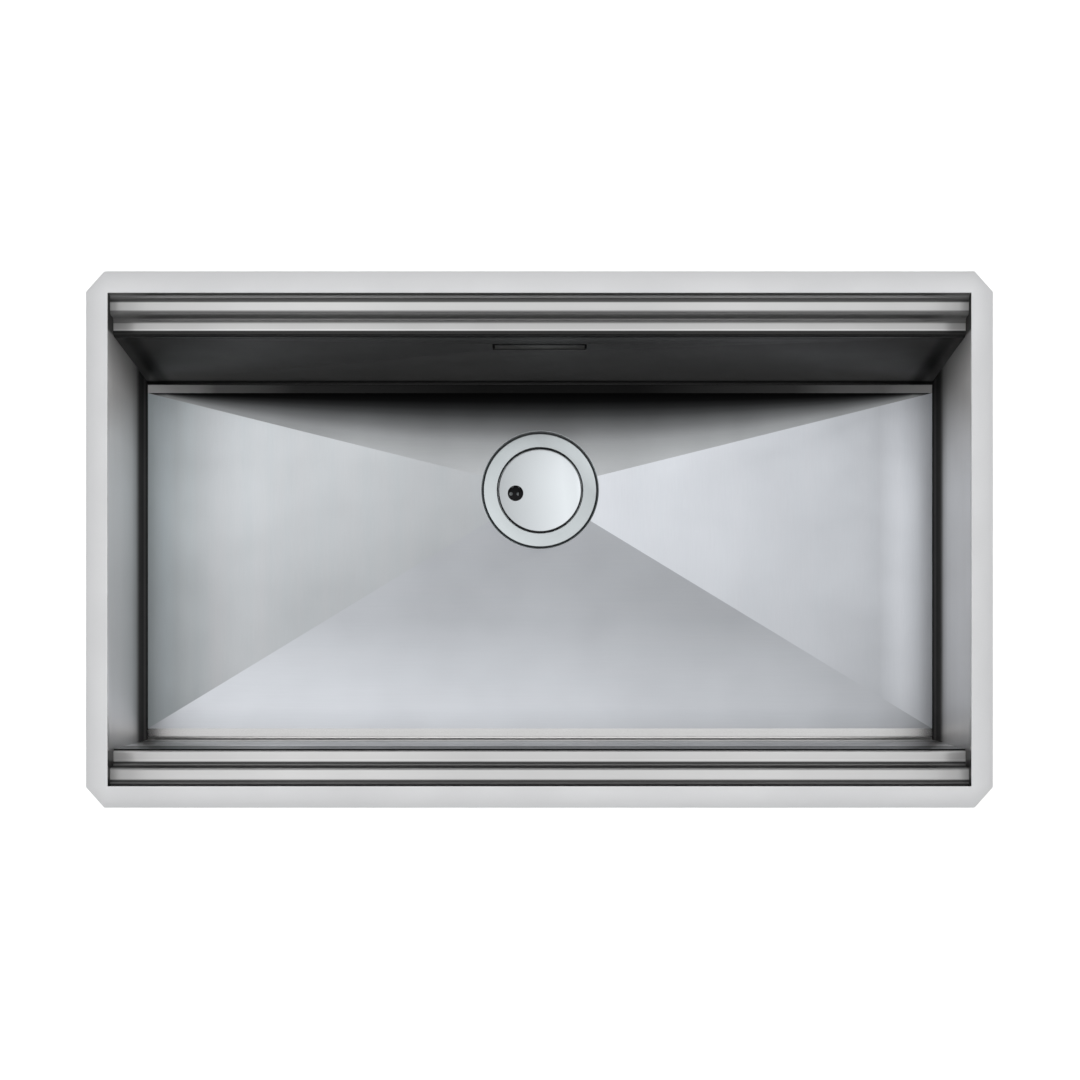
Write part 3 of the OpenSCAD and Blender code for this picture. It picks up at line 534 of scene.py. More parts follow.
def joinPieces(name, pieces):
    joined = bmesh.new()
    for piece in pieces:
        joined.from_mesh(piece.data)
        bpy.data.objects.remove(piece)
    mesh = bpy.data.meshes.new(name)
    joined.to_mesh(mesh)
    joined.free()
    return linkObject(name, mesh)


# Closed outline in two directions, carried from one place to the other along the third
def prism(name, outline, where, start, end):
    count = len(outline)
    points = [where(a, b, start) for a, b in outline] + [where(a, b, end) for a, b in outline]
    faces = [tuple(range(count)), tuple(range(2 * count - 1, count - 1, -1))]
    faces += [(i, (i + 1) % count, count + (i + 1) % count, count + i) for i in range(count)]
    return meshObject(name, points, faces)


def upright(x, y, z=0):
    return lambda r, up, turn: (x + r * math.cos(turn), y + r * math.sin(turn), z + up)


# Closed profile of radius and height, turned round an axis; at the axis it needs no faces
def lathe(name, profile, axis=upright(*atDrain), segments=96):
    count = len(profile)
    points = [axis(r, z, 2 * math.pi * k / segments) for k in range(segments) for r, z in profile]
    faces = []
    for k in range(segments):
        n = (k + 1) % segments
        for i in range(count):
            j = (i + 1) % count
            if max(profile[i][0], profile[j][0]) >= 1e-9:
                faces.append((k * count + i, k * count + j, n * count + j, n * count + i))
    return meshObject(name, points, faces)


# Finish, slot, node and body of a finished piece; look(face) may name another finish for a face
def place(obj, finish, node, body="sink", smooth=35, look=None):
    names = [finish]
    obj.data.materials.clear()
    for face in obj.data.polygons:
        name = look(face) if look else finish
        if name not in names:
            names.append(name)
        face.use_smooth = True
        face.material_index = names.index(name)
    for name in names:
        obj.data.materials.append(finishes[name])
    obj.data.set_sharp_from_angle(angle=math.radians(smooth))
    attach(obj, body)
    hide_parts(node)


slotSizes = {"halfX": 45, "halfUp": 12.25, "corner": 3.0, "depth": 73.5, "knife": 6}


# Point on the leaning rear wall: out through the wall and up along it from a depth
def leaning(x, out, up, depth=slotSizes["depth"]):
    lean = math.radians(bowl.lean)
    cos, sin = math.cos(lean), math.sin(lean)
    wallY = bowl.lipY - (depth + bowl.lipZ) * math.tan(lean)
    return x, wallY + out * cos + up * sin, -depth - out * sin + up * cos


flangeSizes = {"outX": 420, "outY": 248.5, "cutX": 17, "cutY": 19, "thick": 1.5, "edge": 0.4}


def makeFlange():
    f = Sizes(**flangeSizes)
    x, y, inX, inY = f.outX, f.outY, bowl.halfLength, bowl.halfWidth
    rim = [(-x + f.cutX, -y), (x - f.cutX, -y), (x, -y + f.cutY), (x, y - f.cutY),
           (x - f.cutX, y), (-x + f.cutX, y), (-x, y - f.cutY), (-x, -y + f.cutY),
           (-inX, -inY), (inX, -inY), (inX, inY), (-inX, inY)]
    points = [(*p, 0) for p in rim] + [(*p, -f.thick) for p in rim]
    faces = [(0, 1, 9, 8), (1, 2, 9), (2, 3, 10, 9), (3, 4, 10),
             (4, 5, 11, 10), (5, 6, 11), (6, 7, 8, 11), (7, 0, 8)]
    faces += [tuple(v + 12 for v in reversed(face)) for face in faces]
    faces += [(i, (i + 1) % 8, (i + 1) % 8 + 12, i + 12) for i in range(8)]
    faces += [(8 + i, 8 + (i + 1) % 4, 20 + (i + 1) % 4, 20 + i) for i in range(4)]
    plate = softEdges(meshObject("flangePlate", points, faces), f.edge, 3)
    place(plate, "flange", "mounting_flange")


railSizes = {"upperZ": -13, "lowerZ": -30, "upperCove": 6, "lowerCove": 5, "nosing": 4, "steps": 12, "edge": 0.25}


# Points of a bend, each with its way out of the bowl
def bendPoints(cy, cz, radius, start, end, steps, way=1):
    return list(zip(arcPoints(cy, cz, radius, start, end, steps), arcPoints(0, 0, way, start, end, steps)))


def railPath():
    r = Sizes(**railSizes)
    path = [((bowl.halfWidth, -bowl.sheet), (1, 0))]
    for riserY, nextY, z, cove in ((bowl.halfWidth, bowl.riserY, r.upperZ, r.upperCove),
                                   (bowl.riserY, bowl.lipY, r.lowerZ, r.lowerCove)):
        path += bendPoints(riserY - cove, z + cove, cove, 0, -90, r.steps)
        path += bendPoints(nextY + r.nosing, z - r.nosing, r.nosing, 90, 180, r.steps, -1)
    return path + [((bowl.lipY, bowl.lipZ), (1, 0))]


def sheetLoop(path, thickness):
    back = [(p[0] + thickness * out[0], p[1] + thickness * out[1]) for p, out in path]
    return [p for p, out in path] + back[::-1]


# Long sheet of the bowl: only the faces on the bowl's side get the piece's own finish
def placeSheet(obj, side, finish, node):
    place(obj, finish, node, look=lambda face: (
        "outside" if face.normal.z < -0.3 or side * face.normal.y > 0.3 else finish))


def makeRails():
    loop = sheetLoop(railPath(), bowl.sheet)
    for name, side in (("rear", 1), ("front", -1)):
        rail = prism(name + "Rail", loop, lambda y, z, x: (x, side * y, z), -bowl.halfLength, bowl.halfLength)
        placeSheet(softEdges(rail, railSizes["edge"], 2, 60), side, name + "Rail", name + "_ledge_rail")


wallSizes = {"bendSteps": 10, "edge": 0.25, "endEdge": 0.3}


def wallPath():
    lean = math.radians(bowl.lean)
    radius, steps = bowl.footBend, wallSizes["bendSteps"]
    path = [((bowl.lipY, bowl.lipZ), (math.cos(lean), -math.sin(lean)))]
    return path + bendPoints(bowl.footY, bowl.floorZ + radius, radius, -bowl.lean, -90, steps)


def roundedRect(halfX, halfY, r, steps=6):
    return rounded([(-halfX, -halfY, r), (halfX, -halfY, r), (halfX, halfY, r), (-halfX, halfY, r)], steps=steps)


# Plate that lies along the rear wall, from one distance behind its face to another
def leaningPlate(name, halfX, halfUp, corner, start, end):
    return prism(name, roundedRect(halfX, halfUp, corner), lambda a, b, c: leaning(a, c, b), start, end)


def makeWalls():
    s = Sizes(**slotSizes)
    loop = sheetLoop(wallPath(), bowl.sheet)
    loop[-1] = (loop[-1][0], bowl.lipZ)
    for name, side in (("rear", 1), ("front", -1)):
        wall = prism(name + "WallSheet", loop, lambda y, z, x: (x, side * y, z), -bowl.halfLength, bowl.halfLength)
        if name == "rear":
            cutAway(wall, leaningPlate("slotKnife", s.halfX, s.halfUp, s.corner, -s.knife, s.knife))
        placeSheet(softEdges(wall, wallSizes["edge"], 2, 50), side, name + "Wall", name + "_wall")


def endOutline():
    r, s, steps = Sizes(**railSizes), bowl.sheet, wallSizes["bendSteps"]
    leanTop = bowl.lipY + s / math.cos(math.radians(bowl.lean))
    half = [(bowl.halfWidth + s, -s)]
    half += arcPoints(bowl.halfWidth - r.upperCove, r.upperZ + r.upperCove, r.upperCove + s, 0, -90, steps)
    half += [(bowl.riserY + s, r.upperZ - s)]
    half += arcPoints(bowl.riserY - r.lowerCove, r.lowerZ + r.lowerCove, r.lowerCove + s, 0, -90, steps)
    half += [(leanTop, r.lowerZ - s), (leanTop, bowl.lipZ)]
    half += arcPoints(bowl.footY, bowl.floorZ + bowl.footBend, bowl.footBend + s, -bowl.lean, -90, steps)
    return half + [(-y, z) for y, z in reversed(half)]


def makeEnds():
    outline = endOutline()
    for name, side in (("left", -1), ("right", 1)):
        inner = side * bowl.halfLength
        panel = prism(name + "EndPanel", outline, lambda y, z, x: (x, y, z), inner, inner + side * bowl.sheet)
        place(softEdges(panel, wallSizes["endEdge"], 2, 40), "endWall", name + "_wall",
              look=lambda face: "endWall" if side * face.normal.x < 0.5 else "outside")


floorSizes = {"seatTop": 60, "seatWall": 58.5, "seatZ": -227.2, "hole": 45.25, "arcSteps": 36, "edge": 0.35,
              "seatBend": ((0, 1.2), (0.35, 0.35), (1.2, 0))}


# How far a point lies from the drain towards each edge of the floor
def farShares(x, y):
    return {"floorLeft": -x / bowl.halfLength, "floorRight": x / bowl.halfLength,
            "floorRear": (y - drain.y) / (bowl.fallY - drain.y),
            "floorFront": (drain.y - y) / (bowl.fallY + drain.y)}


# Each triangle of the floor was brushed in its own direction, and so were the level borders; the
# triangles and the rear border also carry painted light and shade of their own
def facetFinish(face):
    x, y = face.center.x / mm, face.center.y / mm
    if face.normal.z < 0.5:
        return "outside"
    if abs(y) > bowl.fallY + 0.3:
        return "stripRear" if y > 0 else "stripFront"
    if face.area < 0.005 and math.hypot(x - drain.x, y - drain.y) < floorSizes["seatTop"] + 0.5:
        return "ring"
    shares = farShares(x, y)
    return max(shares, key=shares.get)


def makeFloor():
    f = Sizes(**floorSizes)
    hx, hy, dy, top, thick = bowl.halfLength, bowl.fallY, drain.y, bowl.floorZ, bowl.sheet
    corners = [(-hx, -hy), (hx, -hy), (hx, hy), (-hx, hy)]
    reach = [hy + dy, hx, hy - dy, hx]                   # from the drain to the front, right, rear and left edge
    points, faces, holes = [], [], []

    def height(side, x, y):
        far = [-(y - dy), x, y - dy, -x][side] / reach[side]
        return top - bowl.fall * (1 - far)

    def add(*p):
        points.append(p)
        return len(points) - 1

    def band(upper, lower):
        n = len(upper)
        faces.extend((upper[i], upper[(i + 1) % n], lower[(i + 1) % n], lower[i]) for i in range(n))

    for drop in (0, thick):
        ring = []
        for side in range(4):
            a, b = corners[side], corners[(side + 1) % 4]
            start, end = math.atan2(a[1] - dy, a[0]), math.atan2(b[1] - dy, b[0])
            end += 2 * math.pi if end < start else 0
            turns = [start + (end - start) * k / f.arcSteps for k in range(f.arcSteps + 1)]
            arc = [(f.seatTop * math.cos(turn), dy + f.seatTop * math.sin(turn)) for turn in turns]
            ids = [add(x, y, height(side, x, y) - drop) for x, y in arc]
            faces.append((add(*a, top - drop), add(*b, top - drop), *ids[::-1]))
            ring += ids[:-1]
        for side in (-1, 1):
            faces.append(tuple(add(x, side * y, top - drop)
                               for x, y in ((-hx, hy), (hx, hy), (hx, bowl.footY), (-hx, bowl.footY))))
        levels = [(f.seatWall - inwards, f.seatZ + up) for inwards, up in f.seatBend] + [(f.hole, f.seatZ)]
        if drop:
            levels = [(f.seatTop, f.seatZ - thick), (f.hole, f.seatZ - thick)]
        last = ring
        for r, z in levels:
            loop = []
            for x, y, old in [points[index] for index in ring]:
                size = math.hypot(x, y - dy)
                loop.append(add(x / size * r, dy + (y - dy) / size * r, z))
            band(last, loop)
            last = loop
        holes.append(last)
    band(*holes)
    edge = [(-hx, -bowl.footY), (hx, -bowl.footY), (hx, -hy), (hx, hy), (hx, bowl.footY),
            (-hx, bowl.footY), (-hx, hy), (-hx, -hy)]
    band([add(*p, top) for p in edge], [add(*p, top - thick) for p in edge])
    pan = softEdges(meshObject("floorSheet", points, faces), f.edge, 2, 30)
    place(pan, "outside", "floor_pan", smooth=20, look=facetFinish)


makeFlange()
makeRails()
makeWalls()
makeEnds()
makeFloor()
print("bowl")


def newTree(name, *inputs):
    return newGroup(name, "GeometryNodeTree", [("Geometry", "Geometry"), *inputs, ("Finish", "Material")],
                    [("Geometry", "Geometry")])


# Every tree ends in plain geometry with its finish on it
def endTree(tree, geometry):
    real = addNode(tree, "GeometryNodeRealizeInstances", Geometry=geometry)
    return endGroup(tree, Geometry=addNode(tree, "GeometryNodeSetMaterial", Geometry=real, Material="Finish"))


# Hangs a tree on an object. Lengths and places are given in millimetres.
def addTree(obj, tree, finish, **values):
    modifier = obj.modifiers.new(tree.name, "NODES")
    modifier.node_group = tree
    values["Finish"] = finishes[finish]
    for item in tree.interface.items_tree:
        if item.in_out == "INPUT" and item.name in values:
            value = values[item.name]
            if item.socket_type == "NodeSocketFloat":
                value = value * mm
            elif item.socket_type == "NodeSocketVector":
                value = tuple(v * mm for v in value)
            modifier[item.identifier] = value
    return obj


def fromTree(name, tree, finish, **values):
    return settle(addTree(linkObject(name, bpy.data.meshes.new(name)), tree, finish, **values))


treeLook = {"hoseStep": 0.0005, "squareness": 1.9, "threadSides": 6, "threadSteps": 64, "ribSides": 10,
            "drillSides": 20, "drillLong": 0.006, "floorRings": (2, 3, 4), "wallHoles": 12, "wallTurn": 15}


# Tube along a curve whose outside swells and shrinks once in every pitch
def hoseTree():
    tree = newTree("ribbedHose", ("Root", "Float"), ("Crest", "Float"), ("Bore", "Float"), ("Pitch", "Float"),
                   ("Sides", "Int"))
    dense = addNode(tree, "GeometryNodeResampleCurve", Curve="Geometry", mode="LENGTH", Length=treeLook["hoseStep"])
    along = addNode(tree, "GeometryNodeSplineParameter").outputs["Length"]
    phase = mathNode(tree, "MULTIPLY", mathNode(tree, "DIVIDE", along, "Pitch"), 2 * math.pi)
    wave = mathNode(tree, "MULTIPLY", mathNode(tree, "COSINE", phase), treeLook["squareness"])
    crest = mathNode(tree, "MINIMUM", mathNode(tree, "MAXIMUM", wave, -1), 1)
    share = mathNode(tree, "MULTIPLY_ADD", crest, 0.5, 0.5)
    size = mathNode(tree, "MULTIPLY_ADD", share, mathNode(tree, "SUBTRACT", "Crest", "Root"), "Root")
    profile = {"Profile Curve": addNode(tree, "GeometryNodeCurvePrimitiveCircle", Resolution="Sides", Radius=1.0)}
    outer = addNode(tree, "GeometryNodeCurveToMesh", profile, Curve=dense, Scale=size)
    inner = addNode(tree, "GeometryNodeCurveToMesh", profile, Curve=dense, Scale="Bore")
    inside = addNode(tree, "GeometryNodeFlipFaces", Mesh=inner)
    return endTree(tree, addNode(tree, "GeometryNodeJoinGeometry", Geometry=[outer, inside]))


# Ridge wound round an axis
def threadTree():
    tree = newTree("thread", ("Turns", "Int"), ("Radius", "Float"), ("Length", "Float"), ("Depth", "Float"),
                   ("Start", "Vector"))
    coil = addNode(tree, "GeometryNodeCurveSpiral", {"Start Radius": "Radius", "End Radius": "Radius"},
                   Rotations="Turns", Height="Length", Resolution=treeLook["threadSteps"])
    ridge = addNode(tree, "GeometryNodeCurvePrimitiveCircle", Radius="Depth", Resolution=treeLook["threadSides"])
    wound = addNode(tree, "GeometryNodeCurveToMesh", {"Profile Curve": ridge, "Fill Caps": True}, Curve=coil)
    return endTree(tree, addNode(tree, "GeometryNodeTransform", Geometry=wound, Translation="Start"))


# Grip ribs that stand round a nut
def gripTree():
    tree = newTree("gripRibs", ("Count", "Int"), ("Radius", "Float"), ("Width", "Float"), ("Length", "Float"))
    circle = addNode(tree, "GeometryNodeMeshCircle", Vertices="Count", Radius="Radius")
    rib = addNode(tree, "GeometryNodeMeshCylinder", Radius="Width", Depth="Length", Vertices=treeLook["ribSides"])
    return endTree(tree, addNode(tree, "GeometryNodeInstanceOnPoints", Points=circle, Instance=rib))


# Rings of round holes through a floor, and two rows of them through the wall round it
def strainerTree():
    t = Sizes(**treeLook)
    tree = newTree("strainerHoles", ("Hole", "Float"), ("Pitch", "Float"), ("Wall", "Float"), ("Centre", "Vector"),
                   ("RowUp", "Float"))
    drill = addNode(tree, "GeometryNodeMeshCylinder", Radius="Hole", Vertices=t.drillSides, Depth=t.drillLong)
    rings = []
    for ring in t.floorRings:
        radius = mathNode(tree, "MULTIPLY", "Pitch", ring)
        rings.append(addNode(tree, "GeometryNodeMeshCircle", Radius=radius, Vertices=6 * ring))
    floorSpots = addNode(tree, "GeometryNodeJoinGeometry", Geometry=rings)
    floorHoles = addNode(tree, "GeometryNodeInstanceOnPoints", Points=floorSpots, Instance=drill)
    away = addNode(tree, "GeometryNodeInputPosition")
    level = mathNode(tree, "MULTIPLY", away, (1, 1, 0), kind="ShaderNodeVectorMath")
    turned = addNode(tree, "FunctionNodeAlignRotationToVector", Vector=level, axis="Z")
    rows = []
    for row in (1, 2):
        circle = addNode(tree, "GeometryNodeMeshCircle", Radius="Wall", Vertices=t.wallHoles)
        lift = addNode(tree, "ShaderNodeCombineXYZ", Z=mathNode(tree, "MULTIPLY", "RowUp", 3 - row))
        rows.append(addNode(tree, "GeometryNodeTransform", Geometry=circle, Translation=lift,
                            Rotation=(0, 0, math.radians(t.wallTurn * row))))
    wallSpots = addNode(tree, "GeometryNodeJoinGeometry", Geometry=rows)
    wallHoles = addNode(tree, "GeometryNodeInstanceOnPoints", Points=wallSpots, Instance=drill, Rotation=turned)
    knives = addNode(tree, "GeometryNodeJoinGeometry", Geometry=[floorHoles, wallHoles])
    moved = addNode(tree, "GeometryNodeTransform", Geometry=knives, Translation="Centre")
    solid = addNode(tree, "GeometryNodeRealizeInstances", Geometry=moved)
    drilled = addNode(tree, "GeometryNodeMeshBoolean", {"Mesh 1": "Geometry", "Mesh 2": solid}, solver="EXACT")
    return endTree(tree, drilled)


# Die-cut pad with a waffle of low tiles moulded on it
def padTree():
    tree = newTree("wafflePad", ("Long", "Float"), ("Wide", "Float"), ("CountLong", "Int"), ("CountWide", "Int"),
                   ("Thick", "Float"), ("Tile", "Float"), ("TileHigh", "Float"))
    sheet = addNode(tree, "GeometryNodeMeshGrid", {
        "Size X": "Long", "Size Y": "Wide", "Vertices X": mathNode(tree, "ADD", "CountLong", 1),
        "Vertices Y": mathNode(tree, "ADD", "CountWide", 1)})
    under = addNode(tree, "GeometryNodeFlipFaces", Mesh=sheet)
    up = addNode(tree, "ShaderNodeCombineXYZ", Z="Thick")
    body = addNode(tree, "GeometryNodeExtrudeMesh", Mesh=sheet, Offset=up, Individual=False)
    spots = addNode(tree, "GeometryNodeMeshToPoints", Mesh=sheet, mode="FACES")
    tile = addNode(tree, "GeometryNodeMeshCone", {
        "Radius Bottom": "Tile", "Radius Top": mathNode(tree, "SUBTRACT", "Tile", "TileHigh")},
        Depth="TileHigh", Vertices=4)
    square = addNode(tree, "GeometryNodeTransform", Geometry=tile, Translation=up,
                     Rotation=(0, 0, math.radians(45)))
    tiles = addNode(tree, "GeometryNodeInstanceOnPoints", Points=spots, Instance=square)
    return endTree(tree, addNode(tree, "GeometryNodeJoinGeometry", Geometry=[under, body, tiles]))


trees = {"hose": hoseTree(), "thread": threadTree(), "grip": gripTree(), "strainer": strainerTree(),
         "pad": padTree()}


# Moves each point of a flat piece to its place
def bend(obj, where):
    for vertex in obj.data.vertices:
        vertex.co = Vector(where(*[c / mm for c in vertex.co])) * mm
    reworked(obj.data, lambda work: bmesh.ops.remove_doubles(work, verts=work.verts, dist=2e-6))
    return obj


cupSizes = {"flange": 57.5, "mouth": 43.75, "wall": 1.0, "shelfZ": -11, "cup": 40.75, "cupZ": -37,
            "sump": 19, "sumpZ": -46, "hub": 8, "hubThick": 3, "arm": 5, "armThick": 2, "screwHole": 4.1}


# Directions of three arms or feet round the drain
def threeWays():
    return [math.radians(90 + 120 * i) for i in range(3)]


# Hub for the centre screw with three arms that carry it
def armsOf(name, hub, reach, width, thickness, hubThickness, z, hole):
    half, top, hubTop = width / 2, z + thickness, z + hubThickness
    parts = [lathe(name + "Hub", rounded([(hole, z), (hub, z), (hub, hubTop), (hole, hubTop)], 0.4))]
    outline = rounded([(-half, z), (half, z), (half, top), (-half, top)], 0.4, 3)
    for turn in threeWays():
        parts.append(prism(name + "Arm", outline, lambda a, b, r: (
            drain.x + r * math.cos(turn) - a * math.sin(turn), drain.y + r * math.sin(turn) + a * math.cos(turn),
            drain.z + b), hub - 1, reach))
    return parts


def makeCup():
    c = Sizes(**cupSizes)
    w = c.wall
    profile = rounded([
        (c.flange, -w, 0.3), (c.flange, 0, 0.7), (c.mouth, 0, 0.9), (c.mouth, c.shelfZ, 0.5),
        (c.cup, c.shelfZ, 0.8), (c.cup, c.cupZ, 3), (c.sump, c.cupZ, 1), (c.sump, c.sumpZ, 0.3),
        (c.sump + w, c.sumpZ, 0.3), (c.sump + w, c.cupZ - w, 1), (c.cup + w, c.cupZ - w, 3),
        (c.cup + w, c.shelfZ - w, 0.6), (c.mouth + w, c.shelfZ - w, 0.8), (c.mouth + w, -w, 0.5)], steps=5)
    arms = armsOf("cup", c.hub, c.sump + 0.5, c.arm, c.armThick, c.hubThick, c.sumpZ, c.screwHole)
    cup = joinPieces("drainCupAndFlange", [lathe("drainCup", profile, segments=160)] + arms)
    place(cup, "ring", "drain_flange")


coverSizes = {"radius": 41.9, "under": -2.0, "edge": -0.5, "dome": 1.2, "domeSteps": 24, "holeRadius": 8,
              "holeOut": 25.2, "holeTurn": 187, "footOut": 39.375, "footRadius": 2.5, "footZ": -9.4}


def makeCover():
    c = Sizes(**coverSizes)
    outline = [(0, c.under, 0), (0, c.edge + c.dome, 0)]
    for i in range(1, c.domeSteps):
        share = i / c.domeSteps
        outline.append((c.radius * i / c.domeSteps, c.edge + c.dome * (1 - share ** 2), 0))
    outline += [(c.radius, c.edge, 0.5), (c.radius, c.under, 0.3)]
    disc = lathe("coverDisc", rounded(outline), segments=160)
    turn = math.radians(c.holeTurn)
    finger = upright(drain.x + c.holeOut * math.cos(turn), drain.y + c.holeOut * math.sin(turn), drain.z)
    cutAway(disc, lathe("holeKnife", [(0, -5), (c.holeRadius, -5), (c.holeRadius, 5), (0, 5)], finger, 64))
    place(softEdges(disc, 0.3, 3, 50), "cover", "drain_cover", body="cover")
    foot = rounded([(0, c.footZ, 0), (c.footRadius, c.footZ, 0.7), (c.footRadius, c.under, 0), (0, c.under, 0)])
    feet = [lathe("foot", foot, upright(drain.x + c.footOut * math.cos(turn), drain.y + c.footOut * math.sin(turn),
                                        drain.z), 24) for turn in threeWays()]
    place(joinPieces("coverFeet", feet), "seal", "cover_feet", body="cover")


basketSizes = {"rim": 42.75, "radius": 36, "wall": 1, "rimZ": -9.7, "floorZ": -30.7, "pinHole": 3.1,
               "hole": 2, "pitch": 7.5, "rowUp": 6.77, "plug": 22, "plugZ": -36.7, "plugThick": 3, "neck": 8,
               "pin": 3, "pinZ": -35.2, "collar": 5, "collarThick": 1.5, "knob": 7, "knobZ": -18.7, "knobThick": 5}


def makeBasket():
    b = Sizes(**basketSizes)
    inner, under = b.radius - b.wall, b.floorZ - b.wall
    shell = lathe("strainerCup", rounded([
        (inner, b.rimZ, 1.2), (inner, b.floorZ, 1.5), (b.pinHole, b.floorZ, 0), (b.pinHole, under, 0),
        (b.radius, under, 2.2), (b.radius, b.rimZ - b.wall, 0.3), (b.rim, b.rimZ - b.wall, 0.4),
        (b.rim, b.rimZ, 0.4)], steps=3))
    addTree(shell, trees["strainer"], "plain", Hole=b.hole, Pitch=b.pitch, Wall=b.radius - 0.5,
            Centre=(drain.x, drain.y, drain.z + b.floorZ - 0.5), RowUp=b.rowUp)
    place(settle(shell), "basket", "strainer_basket", body="basket")
    plugTop = b.plugZ + b.plugThick
    plug = lathe("plugDisc", rounded([
        (0, b.plugZ, 0), (b.plug, b.plugZ, 0.9), (b.plug, plugTop, 1.0), (b.neck, plugTop, 1.2),
        (b.neck, under, 0.2), (b.pinHole, under, 0), (b.pinHole, b.plugZ + 1, 0), (0, b.plugZ + 1, 0)]))
    place(plug, "seal", "basket_plug", body="basket")
    collarTop, knobUnder = b.floorZ + b.collarThick, b.knobZ - b.knobThick
    stem = lathe("liftPin", rounded([
        (0, b.pinZ, 0), (b.pin, b.pinZ, 0.5), (b.pin, b.floorZ, 0), (b.collar, b.floorZ, 0.3),
        (b.collar, collarTop, 0.4), (b.pin, collarTop, 0.4), (b.pin, knobUnder, 0.4), (b.knob, knobUnder, 0.8),
        (b.knob, b.knobZ, 1.4), (0, b.knobZ, 0)], steps=5))
    place(stem, "plain", "basket_stem", body="basket")


sealSizes = {"inner": 47.25, "outer": 55.5, "flange": (-1.0, -2.2, 0.3), "body": (-3.7, -5.7, 0.5)}


def makeSeals():
    s = Sizes(**sealSizes)
    for name in ("flange", "body"):
        top, low, corner = sealSizes[name]
        outline = rounded([(s.inner, low), (s.outer, low), (s.outer, top), (s.inner, top)], corner)
        place(lathe(name + "SealRing", outline), "seal", name + "_seal")


wasteSizes = {"rim": 57.5, "rimZ": -5.7, "rimThick": 4, "bore": 46.25, "outer": 49.25, "jointZ": -61,
              "port": 14, "portZ": -45, "portEnd": 67.25, "stub": 8.2, "stubBore": 6.4, "stubEnd": 87.25,
              "funnelTop": -68, "outletTop": -84, "outletEnd": -113, "outlet": 23.9, "outletBore": 20.5,
              "threadCore": 22.7, "threadPitch": 3.4, "threadTurns": 7, "threadUp": 2.2,
              "collar": 26.9, "boss": 9, "arm": 5, "armThick": 7, "bossThick": 14, "screwHole": 4.1}


def makeWaste():
    w = Sizes(**wasteSizes)
    rimUnder = w.rimZ - w.rimThick
    body = lathe("wasteRing", rounded([
        (w.bore, w.rimZ, 0.4), (w.bore, w.jointZ, 0.3), (w.outer, w.jointZ, 0.3), (w.outer, rimUnder, 1.2),
        (w.rim, rimUnder, 0.8), (w.rim, w.rimZ, 0.5)], steps=5), segments=128)
    toBackOfDrain = lambda r, z, a: (drain.x + r * math.cos(a), drain.y + z, drain.z + w.portZ + r * math.sin(a))
    port = lathe("port", rounded([
        (0, w.bore + 1.5, 0), (w.port, w.bore + 1.5, 0), (w.port, w.portEnd, 0.8), (w.stub, w.portEnd, 0.5),
        (w.stub, w.stubEnd, 0.6), (0, w.stubEnd, 0)]), toBackOfDrain, 48)
    bore = lathe("portBore", [(0, w.bore - 6), (w.stubBore, w.bore - 6), (w.stubBore, w.stubEnd + 2),
                              (0, w.stubEnd + 2)], toBackOfDrain, 40)
    place(cutAway(merge(body, port), bore), "black", "waste_chamber")
    shell = lathe("funnelShell", rounded([
        (w.bore, w.jointZ, 0.3), (w.bore, w.funnelTop, 2), (w.outletBore, w.outletTop, 2),
        (w.outletBore, w.outletEnd, 0.4), (w.threadCore, w.outletEnd, 0.8), (w.threadCore, w.outletTop, 0.3),
        (w.collar, w.outletTop, 0.6), (w.outer, w.funnelTop, 2.5), (w.outer, w.jointZ, 0.3)], steps=5), segments=128)
    thread = fromTree("outletThread", trees["thread"], "black", Turns=w.threadTurns, Radius=w.threadCore,
                      Length=w.threadPitch * w.threadTurns, Depth=w.outlet - w.threadCore,
                      Start=(drain.x, drain.y, drain.z + w.outletEnd + w.threadUp))
    boss = armsOf("boss", w.boss, w.bore + 0.5, w.arm, w.armThick, w.bossThick, w.funnelTop, w.screwHole)
    place(joinPieces("wasteFunnel", [shell, thread] + boss), "black", "waste_funnel")


screwSizes = {"core": 3.55, "tipZ": -64, "headZ": -43, "head": 7, "headThick": 3.5, "slot": 1.2, "slotDeep": 1.75,
              "slotLong": 9, "turns": 11, "pitch": 1.25, "ridge": 0.42, "threadUp": 1.2}


def makeScrew():
    s = Sizes(**screwSizes)
    top = s.headZ + s.headThick
    shaft = lathe("clampScrew", rounded([
        (0, s.tipZ, 0), (s.core, s.tipZ, 0.8), (s.core, s.headZ, 0), (s.head, s.headZ, 0.4), (s.head, top, 0.9),
        (0, top, 0)]), segments=48)
    half = s.slot / 2
    groove = prism("slotCut", [(-half, -s.slotDeep), (half, -s.slotDeep), (half, 3), (-half, 3)],
                   lambda a, b, x: (x, drain.y + a, drain.z + top + b), -s.slotLong, s.slotLong)
    cutAway(shaft, groove)
    thread = fromTree("screwThread", trees["thread"], "plain", Turns=s.turns, Radius=s.core,
                      Length=s.pitch * s.turns, Depth=s.ridge,
                      Start=(drain.x, drain.y, drain.z + s.tipZ + s.threadUp))
    place(joinPieces("centreScrewAndThread", [shaft, thread]), "plain", "centre_screw")


